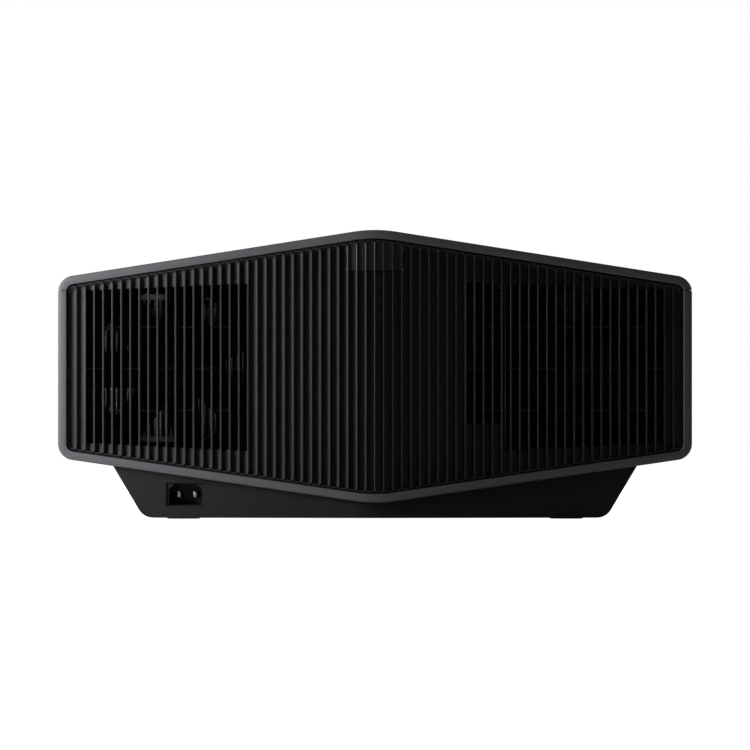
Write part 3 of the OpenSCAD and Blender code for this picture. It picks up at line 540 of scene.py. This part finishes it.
def sleeve(outline, bays):
    """A shell swept round the sleeve's wall, open at the bays (side, y0, y1, z0, z1)."""
    stations = sleeve_stations()
    bm = bmesh.new()
    rings = [
        [bm.verts.new(Vector(p) * MM) for p in sleeve_ring(outline, s)] for s in stations
    ]
    n, m = len(rings), len(rings[0])

    def in_bay(i, j):
        a, b = stations[i], stations[(i + 1) % n]
        if a[1] != "at" or b[1] != "at":
            return False
        y = (a[2] + b[2]) / 2
        p = (rings[i][j].co + rings[i][j + 1].co) / (2 * MM)
        return any(
            s * p.x > CORNER_X and y0 < y < y1 and z0 < p.z < z1 for s, y0, y1, z0, z1 in bays
        )

    # each station on the outer side wall, with the one opposite it on the inner wall
    twin = {}
    for i, a in enumerate(stations):
        for k, b in enumerate(stations):
            if a[1] == b[1] == "at" and a[2] == b[2] and a[0] < b[0]:
                twin[i] = k
    for i in range(n):
        for j in range(m - 1):
            k = (i + 1) % n
            if not in_bay(i, j):
                bm.faces.new((rings[i][j], rings[k][j], rings[k][j + 1], rings[i][j + 1]))
    # reveals of the bays, from the outer to the inner face
    for i in range(n - 1):
        for j in range(m - 1):
            if not in_bay(i, j) or i not in twin:
                continue
            # a face beside this one, and the two ends of the edge between them
            near = (((i - 1, j), (i, j), (i, j + 1)), ((i + 1, j), (i + 1, j), (i + 1, j + 1)),
                    ((i, j - 1), (i, j), (i + 1, j)), ((i, j + 1), (i, j + 1), (i + 1, j + 1)))
            for beside, p, q in near:
                if not in_bay(*beside):
                    bm.faces.new((rings[p[0]][p[1]], rings[q[0]][q[1]],
                                  rings[twin[q[0]]][q[1]], rings[twin[p[0]]][p[1]]))
    for j in (0, m - 1):
        bm.faces.new([ring[j] for ring in rings])
    bmesh.ops.recalc_face_normals(bm, faces=bm.faces)
    return bm


SEAM_EDGE = 0.3
SEAM_REACH = 0.0006     # metres
MOUTH_EDGE = 0.5
MOUTH_ANGLE = 1.0       # radians
TONGUE_GAP = 0.1
TONGUE_Y = 180.0
TONGUE_BELOW, TONGUE_ABOVE = 7.0, 1.5


def soften(bm, chosen, width, segments=2):
    """Rounds the chosen edges."""
    edges = [e for e in bm.edges if len(e.link_faces) == 2 and chosen(e)]
    bmesh.ops.bevel(bm, geom=edges, offset=width * MM, segments=segments, profile=0.5,
                    affect="EDGES", clamp_overlap=False)


def on_seam(e):
    """Whether an edge lies on the outside of the seam."""
    levels = (SEAM_Z + SEAM_GAP / 2) * MM, (SEAM_Z - SEAM_GAP / 2) * MM
    outside = HALF_W * MM - SEAM_REACH
    return any(all(abs(v.co.z - level) < SAME and abs(v.co.x) > outside for v in e.verts)
               for level in levels)


def on_bay(bays):
    """A test for the edges round the mouths of the bays."""
    def test(e):
        for side, y0, y1, z0, z1 in bays:
            if all(abs(v.co.x - side * HALF_W * MM) < SAME for v in e.verts):
                inside = all(y0 * MM - SAME < v.co.y < y1 * MM + SAME
                             and z0 * MM - SAME < v.co.z < z1 * MM + SAME for v in e.verts)
                if inside and e.calc_face_angle(0) > MOUTH_ANGLE:
                    return True
        return False
    return test


bm = sleeve(upper_outline, [])
soften(bm, on_seam, SEAM_EDGE)
piece("top_shell", bm, "root", "case_black", "top_cover")

bm = sleeve(lower_outline, SIDE_BAYS)
soften(bm, on_seam, SEAM_EDGE)
soften(bm, on_bay(SIDE_BAYS), MOUTH_EDGE, 3)
for sx in (-1, 1):
    # tongue behind the seam
    xs = sorted((sx * (HALF_W - WALL - TONGUE_GAP), sx * (HALF_W - WALL - LAP)))
    box(bm, *xs, -TONGUE_Y, TONGUE_Y, SEAM_Z - TONGUE_BELOW, SEAM_Z + TONGUE_ABOVE)
piece("lower_shell", bm, "root", "case_black", "lower_case")


# ---- ribbed panels ----

PANEL_IN = RIM + GROOVE
TIP = 1.15              # width of a rib's face
TURN_R = 3.4            # the ribs' faces turn outwards along the panel's ends with this radius
TURN_FLAT = 1.35        # along the ends, all widths are divided by this
EDGE_R = 0.26
DRAFT = 0.1             # width of a rib's sloping wall
OVERLAP = 0.3           # each tooth runs this far into the next one
WINDOW_FLOOR = (2.0, 2.2)
WINDOW_GAP = 0.25
WINDOW_RIBS = 3         # the window ends at this rib on each side
WINDOW_SHORT = 0.05     # its last rib is this much narrower than the panel's
RING_RIBS = 12          # the lens surround cuts this many ribs on each side
# levels across a tooth, from its inner wall, and along it, from the panel's end
RIB_U = (0.0, 0.03, 0.1, EDGE_R, TIP - EDGE_R, TIP - 0.1, TIP - 0.03, TIP, TIP + DRAFT,
         TIP + DRAFT + 0.35, 2.6, 3.5, 4.6, 5.9, RIB_PITCH, RIB_PITCH + OVERLAP)
END_T = (0.0, 0.03, 0.1, 0.2, 0.5, 0.75, 0.9, 0.98, 1.04, 1.12, 1.4, 1.8, 2.4, 3.2, 4.2)
# the most of a tooth's length that the close levels at its ends may take
ONE_END, BOTH_ENDS = 0.98, 0.45
# lower and upper edge of the air openings: Z in the middle and change per millimetre of X
BAY_LOW, BAY_LOW_SLOPE = 45.5, 0.048
BAY_HIGH, BAY_HIGH_SLOPE = 175.0, 0.041
OPEN_RIBS = (14, 32)    # the first and last rib of a wide opening
SMALL_OPEN = (10, 14, 69.8)     # the same of the narrow one beside it, and its lowest Z
BLADE_W = TIP + 0.26
BLADE_IN = 0.02
BLADE_OVER = 1.2        # a blade runs this far into the teeth above and below it
BLADE_EDGE = [(0.0, 0.5), (0.06, 0.2), (0.2, 0.05), (0.36, 0.02)]
TIE_LOW, TIE_H = 1.6, 1.4
TIE_FRONT, TIE_BACK = 6.0, 0.5
FLANGE_OUT, FLANGE_IN = RIM + 0.3, PANEL_IN + 2.0
FLANGE_DEPTHS = (FLOOR_BACK - 5.0, FLOOR_BACK - 2.0)
FLANGE_X = HALF_W - RIM - 1.5
FLANGE_STEPS = 60


def relief(u, s, floor=(FLOOR_DEPTH, RAMP_DEPTH)):
    """Depth of the surface at u from the rib's inner wall and s from the panel's end."""
    s *= TURN_FLAT
    if u < TURN_R and s < TURN_R:
        inside = TURN_R - math.hypot(TURN_R - u, TURN_R - s)
    else:
        inside = min(u, s)
    inside = max(inside, 0.0)
    edge = min(inside, TIP - inside)
    if edge >= EDGE_R:
        return 0.0
    if edge >= 0:
        return EDGE_R - math.sqrt(EDGE_R ** 2 - (EDGE_R - edge) ** 2)
    if inside < TIP + DRAFT:
        return EDGE_R + (inside - TIP) / DRAFT * (floor[0] - EDGE_R)
    along = min((inside - TIP - DRAFT) / (RIB_PITCH - TIP - DRAFT), 1.0)
    return floor[0] + along * (floor[1] - floor[0])


def turned(u):
    """How far the rounded end of a rib lies inside the panel's end at u."""
    if u >= TURN_R:
        return 0.0
    return (TURN_R - math.sqrt(TURN_R ** 2 - (TURN_R - u) ** 2)) / TURN_FLAT


class Panel:
    """A ribbed end panel; sign is 1 behind and -1 in front.

    bays are the air openings: (side, first rib, last rib, lowest Z).
    """

    def __init__(self, ridge, sign, bays, ir_z):
        self.ridge, self.sign, self.bays, self.ir_z = ridge, sign, bays, ir_z

    def point(self, x, depth, z):
        """A point at a depth below the ribs' faces."""
        return x, self.sign * vee_y(self.ridge, x, TIP_IN + depth), z

    def ends(self, x):
        """The panel's lower and upper end at x."""
        return outline_z(min(abs(x), HALF_W - PANEL_IN), PANEL_IN)

    def bay_at(self, side, n):
        """Z limits, as functions of x, of the air opening between ribs n and n + 1."""
        for bay_side, first, last, low in self.bays:
            if bay_side == side and first <= n < last:
                return (lambda x: max(low, BAY_LOW + BAY_LOW_SLOPE * abs(x)),
                        lambda x: BAY_HIGH - BAY_HIGH_SLOPE * abs(x))
        return None

    def tooth(self, bm, side, n, low=None, high=None, first_u=0.0, last_u=RIB_U[-1],
              floor=(FLOOR_DEPTH, RAMP_DEPTH)):
        """One rib with the floor on its outer side, between two cuts or the panel's ends."""
        wall_x = n * RIB_PITCH - RIB_W / 2
        last_u = min(last_u, RIB_U[-1], HALF_W - PANEL_IN - wall_x)
        us = [first_u] + [u for u in RIB_U if first_u < u < last_u] + [last_u]
        front, back = [], []
        for u in us:
            x = side * (wall_x + u)
            z0, z1 = self.ends(x)
            turn = turned(u)
            bottom = low(x) if low else z0 + turn
            top = high(x) if high else z1 - turn
            room = (top - bottom) * (ONE_END if low or high else BOTH_ENDS)
            step = min(1.0, room / END_T[-1])
            zs = [bottom] if low else [bottom + t * step for t in END_T]
            zs += [top] if high else [top - t * step for t in reversed(END_T)]
            front.append([self.point(x, relief(u, min(z - z0, z1 - z), floor), z) for z in zs])
            back.append([self.point(x, FLOOR_BACK, z) for z in zs])
        grid_block(bm, front, back)

    def blade(self, bm, side, n, low, high):
        """The open part of a rib in front of an air opening."""
        inner = n * RIB_PITCH - RIB_W / 2 + BLADE_IN
        far_edge = [(BLADE_W - u, depth) for u, depth in reversed(BLADE_EDGE)]
        front, back = [], []
        for u, depth in BLADE_EDGE + far_edge:
            x = side * (inner + u)
            zs = (low(x) - BLADE_OVER, high(x) + BLADE_OVER)
            front.append([self.point(x, depth, z) for z in zs])
            back.append([self.point(x, BLADE_DEPTH, z) for z in zs])
        grid_block(bm, front, back)

    def tie(self, bm, side, n, row):
        """A short bar between blades n - 1 and n."""
        x = side * (n - 0.5) * RIB_PITCH
        y = vee_y(self.ridge, x, TIP_IN)
        ys = sorted((self.sign * (y - BLADE_DEPTH + TIE_BACK), self.sign * (y - TIE_FRONT)))
        z = LENS_Z - TIE_LOW + row * TIE_STEP
        box(bm, x - RIB_PITCH / 2, x + RIB_PITCH / 2, *ys, z, z + TIE_H)

    def flange(self, bm, x_from, x_to):
        """The plate behind the groove, between the panel and the rim."""
        xs = sorted({round(x, 4) for x in spread(x_from, x_to, FLANGE_STEPS)})
        near, far = FLANGE_DEPTHS
        for end in (0, 1):
            front, back = [], []
            for x in xs:
                a = outline_z(x, FLANGE_OUT)[end]
                b = outline_z(min(abs(x), HALF_W - FLANGE_IN), FLANGE_IN)[end]
                front.append([self.point(x, near, z) for z in (a, b)])
                back.append([self.point(x, far, z) for z in (a, b)])
            grid_block(bm, front, back)
        for side in (-1, 1):
            a, b = side * (HALF_W - FLANGE_OUT), side * (HALF_W - FLANGE_IN - 1.0)
            if not min(x_from, x_to) <= b <= max(x_from, x_to):
                continue
            zs = outline_z(HALF_W - FLANGE_IN, FLANGE_IN)
            front = [[self.point(x, near, z) for z in zs] for x in (a, b)]
            back = [[self.point(x, far, z) for z in zs] for x in (a, b)]
            grid_block(bm, front, back)

    def half(self, bm, side, hole=False):
        """All the ribs on one side; hole leaves room for the lens surround."""
        def ring_low(x):
            return LENS_Z - math.sqrt(max(RING_OUT ** 2 - x * x, 0.0))

        def ring_high(x):
            return LENS_Z + math.sqrt(max(RING_OUT ** 2 - x * x, 0.0))

        for n in range(RIBS + 1):
            bay = self.bay_at(side, n)
            under_ir = n <= WINDOW_RIBS
            first_u = RIB_W / 2 if n == 0 else 0.0
            if hole and n < RING_RIBS:
                self.tooth(bm, side, n, None, ring_low, first_u)
                if n < WINDOW_RIBS:
                    continue
                beside_window = RIB_W if n == WINDOW_RIBS else 0.0
                self.tooth(bm, side, n, ring_high, None, beside_window)
            elif bay:
                low, high = bay
                self.tooth(bm, side, n, None, low, first_u)
                self.tooth(bm, side, n, high, None, first_u)
            elif under_ir:
                self.tooth(bm, side, n, None, lambda x: self.ir_z, first_u)
                if n == WINDOW_RIBS:
                    self.tooth(bm, side, n, lambda x: self.ir_z, None, RIB_W)
            else:
                self.tooth(bm, side, n, None, None, first_u)
            if bay:
                self.blade(bm, side, n, *bay)
        for bay_side, first, last, low in self.bays:
            if bay_side != side:
                continue
            for row in (-1, 0, 1):
                for n in range(first + 1, last + 1):
                    # two of every four spaces, the middle row's between the others'
                    k = (n + 2 if row == 0 else n) % 4
                    if k in (1, 2):
                        self.tie(bm, side, n, row)

    def window(self, bm):
        """The remote receiver's window: the same ribs with a shallower floor."""
        for side in (-1, 1):
            for n in range(WINDOW_RIBS + 1):
                first_u = RIB_W / 2 if n == 0 else 0.0
                last_u = TIP - WINDOW_SHORT if n == WINDOW_RIBS else RIB_U[-1]
                self.tooth(bm, side, n, lambda x: self.ir_z + WINDOW_GAP, None, first_u, last_u,
                           WINDOW_FLOOR)


REAR_OPENINGS = [(1, *OPEN_RIBS, 0.0), (-1, *OPEN_RIBS, 0.0), (-1, *SMALL_OPEN)]
rear = Panel(REAR_RIDGE, 1, REAR_OPENINGS, REAR_IR_Z)
front = Panel(FRONT_RIDGE, -1, [(-1, *OPEN_RIBS, 0.0)], FRONT_IR_Z)

bm = bmesh.new()
for sx in (-1, 1):
    rear.half(bm, sx)
rear.flange(bm, -FLANGE_X, FLANGE_X)
piece("rear_panel", bm, "root", "grille_black", "rear_grille")

FRONT_GAP = 0.2         # from the middle plane to each front panel's flange
for sx, name in ((-1, "left"), (1, "right")):
    bm = bmesh.new()
    front.half(bm, sx, hole=True)
    front.flange(bm, sx * FRONT_GAP, sx * FLANGE_X)
    piece("front_panel_" + name, bm, "root", "grille_black", "front_grille_" + name)

bm = bmesh.new()
rear.window(bm)
front.window(bm)
piece("ir_panes", bm, "root", "ir_black", "ir_windows")


# ---- pieces that follow the CAD's own shape, with rounded edges ----


BODY_OF = {node: body for body, nodes in frame["record"]["behaviour"]["bodies"].items()
           for node in nodes}
SLOT_OF = {row["node"]: row["material_slot"] for row in frame["record"]["subparts"]}
FLAT = math.radians(0.4)
BENT = math.radians(30.0)


def finished(node, width):
    """A copy of a CAD node with its flat faces joined and its sharp edges rounded."""
    bm = bmesh.new()
    bm.from_mesh(frame["nodes"][node].data)
    bmesh.ops.remove_doubles(bm, verts=bm.verts, dist=SAME)
    bmesh.ops.dissolve_limit(bm, angle_limit=FLAT, verts=bm.verts, edges=bm.edges)
    edges = [e for e in bm.edges if len(e.link_faces) == 2 and e.calc_face_angle(0) > BENT]
    if width:
        bmesh.ops.bevel(bm, geom=edges, offset=width * MM, segments=2, profile=0.5,
                        affect="EDGES", clamp_overlap=True)
    ob = piece(node + "_form", bm, BODY_OF[node], SLOT_OF[node], node)
    # the large faces set the normals, so that the narrow rounded edges don't bend them
    even = ob.modifiers.new("even shading", "WEIGHTED_NORMAL")
    even.keep_sharp = True
    even.weight = 100


# how wide the rounding is; the front lens is only smoothed
EDGE_WIDTHS = {
    "base_cover": 0.6, "lens_bezel": 0.5, "io_panel": 0.3, "keypad_panel": 0.35,
    "mains_inlet": 0.3, "inlet_pins": 0.3, "filter_cover": 0.4, "metal_sockets": 0.15,
    "trigger_jacks": 0.2, "rear_feet": 0.4, "foot_pad_left": 0.6, "foot_pad_right": 0.6,
    "foot_dial_left": 0.3, "foot_dial_right": 0.3, "power_button": 0.35, "input_button": 0.35,
    "menu_button": 0.35, "enter_button": 0.35, "up_button": 0.35, "down_button": 0.35,
    "left_button": 0.35, "right_button": 0.35, "fan_frames": 0.5, "fan_rotor_left": 0.3,
    "fan_rotor_right": 0.3, "lens_barrel": 0.3, "lens_shroud": 0.4, "front_cell": 0.3,
    "chassis_plate": 0.25, "front_lens": 0.0,
}
for name, width in EDGE_WIDTHS.items():
    finished(name, width)


# ---- raised metal signs on the keys ----

SIGN_LINE = 0.5
SIGN_HEIGHT = 0.14      # above the key's face, and as far into it
POWER_R = 2.1
POWER_GAP = 0.6         # radians, on each side of the bar
BAR_STEP = 1.1
DOT_R = 1.2


def prism(bm, outline, x0, x1):
    """A flat solid with the (y, z) outline, between two levels of X."""
    low, high = ([bm.verts.new(Vector((x, y, z)) * MM) for y, z in outline] for x in (x0, x1))
    sides = [(low[i - 1], low[i], high[i], high[i - 1]) for i in range(len(low))]
    faces = [bm.faces.new(vs) for vs in (low, high, *sides)]
    bmesh.ops.recalc_face_normals(bm, faces=faces)


def arc(radius, start, end, steps=20):
    """Points round the sign's middle, from angle to angle."""
    return [(radius * math.sin(a), radius * math.cos(a)) for a in spread(start, end, steps)]


def bar(y0, y1, z0, z1):
    """The outline of a rectangle."""
    return [(y0, z0), (y1, z0), (y1, z1), (y0, z1)]


def arrow(turn, size=1.5, at=(0.0, 0.0)):
    """A triangle that points up, turned clockwise as seen from outside."""
    corners = [(0.0, size), (0.87 * size, -0.5 * size), (-0.87 * size, -0.5 * size)]
    c, s = math.cos(turn), math.sin(turn)
    return [(at[0] + y * c + z * s, at[1] - y * s + z * c) for y, z in corners]


RING_ENDS = (POWER_GAP, 2 * math.pi - POWER_GAP)
OPEN_RING = arc(POWER_R, *RING_ENDS) + arc(POWER_R - SIGN_LINE, *RING_ENDS)[::-1]
TRAY = [(-2.0, -1.6), (1.0, -1.6), (1.0, -1.1), (-1.5, -1.1), (-1.5, 1.1), (1.0, 1.1), (1.0, 1.6),
        (-2.0, 1.6)]
SIGNS = {
    "power": [OPEN_RING, bar(-SIGN_LINE / 2, SIGN_LINE / 2, 0.3, 2.4)],
    "input": [TRAY, arrow(-math.pi / 2, 0.9, (0.9, 0.0))],
    "menu": [bar(-1.5, 1.5, z - SIGN_LINE / 2, z + SIGN_LINE / 2)
             for z in (-BAR_STEP, 0.0, BAR_STEP)],
    "enter": [arc(DOT_R, 0.0, 1.9 * math.pi)],
    "up": [arrow(0.0)],
    "down": [arrow(math.pi)],
    "left": [arrow(math.pi / 2)],
    "right": [arrow(-math.pi / 2)],
}
for key, outlines in SIGNS.items():
    low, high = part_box(key + "_button")
    face = high[0] / MM
    middle = [(low[k] + high[k]) / 2 / MM for k in (1, 2)]
    bm = bmesh.new()
    for outline in outlines:
        prism(bm, [(middle[0] + y, middle[1] + z) for y, z in outline],
              face - SIGN_HEIGHT, face + SIGN_HEIGHT)
    piece(key + "_sign", bm, BODY_OF[key + "_button"], "socket_steel")


# ---- partition behind the air filter ----

SHEET_Y = (-181.0, -179.0)
SHEET_GAP = 0.4         # to the sleeve's inner face
SHEET_END = -84.0
SHEET_X = spread(-(HALF_W - WALL - SHEET_GAP), SHEET_END, 24)
DECK = 49.5             # top of the chassis plate
FRAME_X, FRAME_Z = (-214.0, -96.0), (69.0, 149.0)     # the window that the filter covers
LIP = 7.0
LIP_T = 2.0
SINK = 0.01             # the lip runs this far into the sheet
RIVET_R = 2.2
RIVET_TOP = 0.7         # of the rivet's radius
RIVET_LEN = 1.0
RIVET_OUT = 0.4         # the rivet's middle lies this far from the sheet's face
RIVET_X, RIVET_Z = 6.0, 8.0     # from the window's edge


def partition():
    """Sheet wall that closes the case round the filter, with a folded lip round its window."""
    bm = bmesh.new()

    def sheet(xs, low, high):
        spans = [(x, low(x), high(x)) for x in xs]
        grid_block(bm, [[(x, SHEET_Y[1], z) for z in ends] for x, *ends in spans],
                   [[(x, SHEET_Y[0], z) for z in ends] for x, *ends in spans])

    def roof(x):
        return outline_z(x, WALL + SHEET_GAP)[1]

    def deck(x):
        return max(DECK, outline_z(x, WALL + SHEET_GAP)[0])

    (x0, x1), (z0, z1) = FRAME_X, FRAME_Z
    across = [x0, *(x for x in SHEET_X if x0 < x < x1), x1]
    sheet([x for x in SHEET_X if x < x0] + [x0], deck, roof)
    sheet([x1] + [x for x in SHEET_X if x > x1], deck, roof)
    sheet(across, deck, lambda x: z0)
    sheet(across, lambda x: z1, roof)
    fold = SHEET_Y[1] - SINK, SHEET_Y[1] + LIP
    box(bm, x0 - LIP_T, x0, *fold, z0 - LIP_T, z1 + LIP_T)
    box(bm, x1, x1 + LIP_T, *fold, z0 - LIP_T, z1 + LIP_T)
    box(bm, x0, x1, *fold, z0 - LIP_T, z0)
    box(bm, x0, x1, *fold, z1, z1 + LIP_T)
    for x in (x0 - RIVET_X, (x0 + x1) / 2, x1 + RIVET_X):
        for z in (z0 - RIVET_Z, z1 + RIVET_Z):
            turn = Matrix.Translation(Vector((x, SHEET_Y[1] + RIVET_OUT, z)) * MM)
            turn = turn @ Matrix.Rotation(-math.pi / 2, 4, "X")
            bmesh.ops.create_cone(bm, cap_ends=True, segments=24, radius1=RIVET_R * MM,
                                  radius2=RIVET_R * RIVET_TOP * MM, depth=RIVET_LEN * MM,
                                  matrix=turn)
    piece("filter_partition", bm, "root", "sheet_steel")


partition()


# ---- stage ----

FLOOR_R = 6.0           # metres
FLOOR_GREY = (0.62, 0.62, 0.62, 1)
FLOOR_GLOW = 1.05
SKY_SEEN, SKY_FILL = 1.0, 0.01
FILL_TINT = (0.94, 0.96, 1.0, 1)


def choose_by_ray(tree, output, lit, seen):
    """The camera sees one shader, while the other one lights the scene."""
    path = tree.nodes.new("ShaderNodeLightPath")
    choose = tree.nodes.new("ShaderNodeMixShader")
    tree.links.new(path.outputs["Is Camera Ray"], choose.inputs[0])
    tree.links.new(lit.outputs[0], choose.inputs[1])
    tree.links.new(seen.outputs[0], choose.inputs[2])
    tree.links.new(choose.outputs[0], tree.nodes.new(output).inputs[0])


bm = bmesh.new()
bmesh.ops.create_circle(bm, cap_ends=True, segments=64, radius=FLOOR_R)
floor_mesh = bpy.data.meshes.new("floor")
bm.to_mesh(floor_mesh)
bm.free()
floor = bpy.data.objects.new("floor", floor_mesh)
bpy.context.scene.collection.objects.link(floor)

# the glow makes the floor as white as the background, without lighting the part
floor_look = bpy.data.materials.new("floor")
floor_look.use_nodes = True
tree = floor_look.node_tree
tree.nodes.clear()
pale = tree.nodes.new("ShaderNodeBsdfDiffuse")
pale.inputs["Color"].default_value = FLOOR_GREY
glow = tree.nodes.new("ShaderNodeEmission")
glow.inputs["Strength"].default_value = FLOOR_GLOW
total = tree.nodes.new("ShaderNodeAddShader")
tree.links.new(pale.outputs[0], total.inputs[0])
tree.links.new(glow.outputs[0], total.inputs[1])
choose_by_ray(tree, "ShaderNodeOutputMaterial", pale, total)
floor.data.materials.append(floor_look)

world = bpy.data.worlds.new("studio")
bpy.context.scene.world = world
world.use_nodes = True
tree = world.node_tree
tree.nodes.clear()
seen = tree.nodes.new("ShaderNodeBackground")
seen.inputs["Strength"].default_value = SKY_SEEN
seen.inputs["Color"].default_value = (1, 1, 1, 1)
fill = tree.nodes.new("ShaderNodeBackground")
fill.inputs["Strength"].default_value = SKY_FILL
fill.inputs["Color"].default_value = FILL_TINT
choose_by_ray(tree, "ShaderNodeOutputWorld", fill, seen)
bpy.context.scene.view_settings.view_transform = "Standard"

# place, target and size in metres, and watts
LIGHTS = {
    "key": ((0.58, 0.47, 0.24), (0.12, 0.24, 0.11), (0.4, 0.3), 5.8),
    "overhead": ((-0.05, 0.6, 0.7), (0.0, 0.25, 0.12), (0.4, 0.3), 0.25),
    "front_key": ((-1.3, -1.7, 1.1), (0.0, -0.1, 0.1), (1.0, 0.8), 55.0),
    "front_fill": ((1.6, -1.3, 0.7), (0.0, -0.1, 0.1), (0.9, 0.9), 18.0),
}


def softbox(name, at, target, size, watts):
    """A rectangular area light that looks at its target."""
    light = bpy.data.lights.new(name, "AREA")
    light.shape = "RECTANGLE"
    light.size, light.size_y = size
    light.energy = watts
    light.spread = math.pi
    ob = bpy.data.objects.new(name, light)
    ob.location = at
    ob.rotation_euler = (Vector(target) - Vector(at)).to_track_quat("-Z", "Y").to_euler()
    ob.visible_camera = False
    bpy.context.scene.collection.objects.link(ob)


for name, values in LIGHTS.items():
    softbox(name, *values)

# the camera looks square at the back from far away; places in metres
CAMERA_AT = (0.0, 9.0, 0.105)
cam_data = bpy.data.cameras.new("camera")
cam_data.lens = 580.7
cam_data.sensor_width = 36.0
cam = bpy.data.objects.new("camera", cam_data)
cam.location = CAMERA_AT
cam.rotation_euler = (math.pi / 2, 0.0, math.pi)
cam_data.clip_end = 100.0
bpy.context.scene.collection.objects.link(cam)
bpy.context.scene.camera = cam
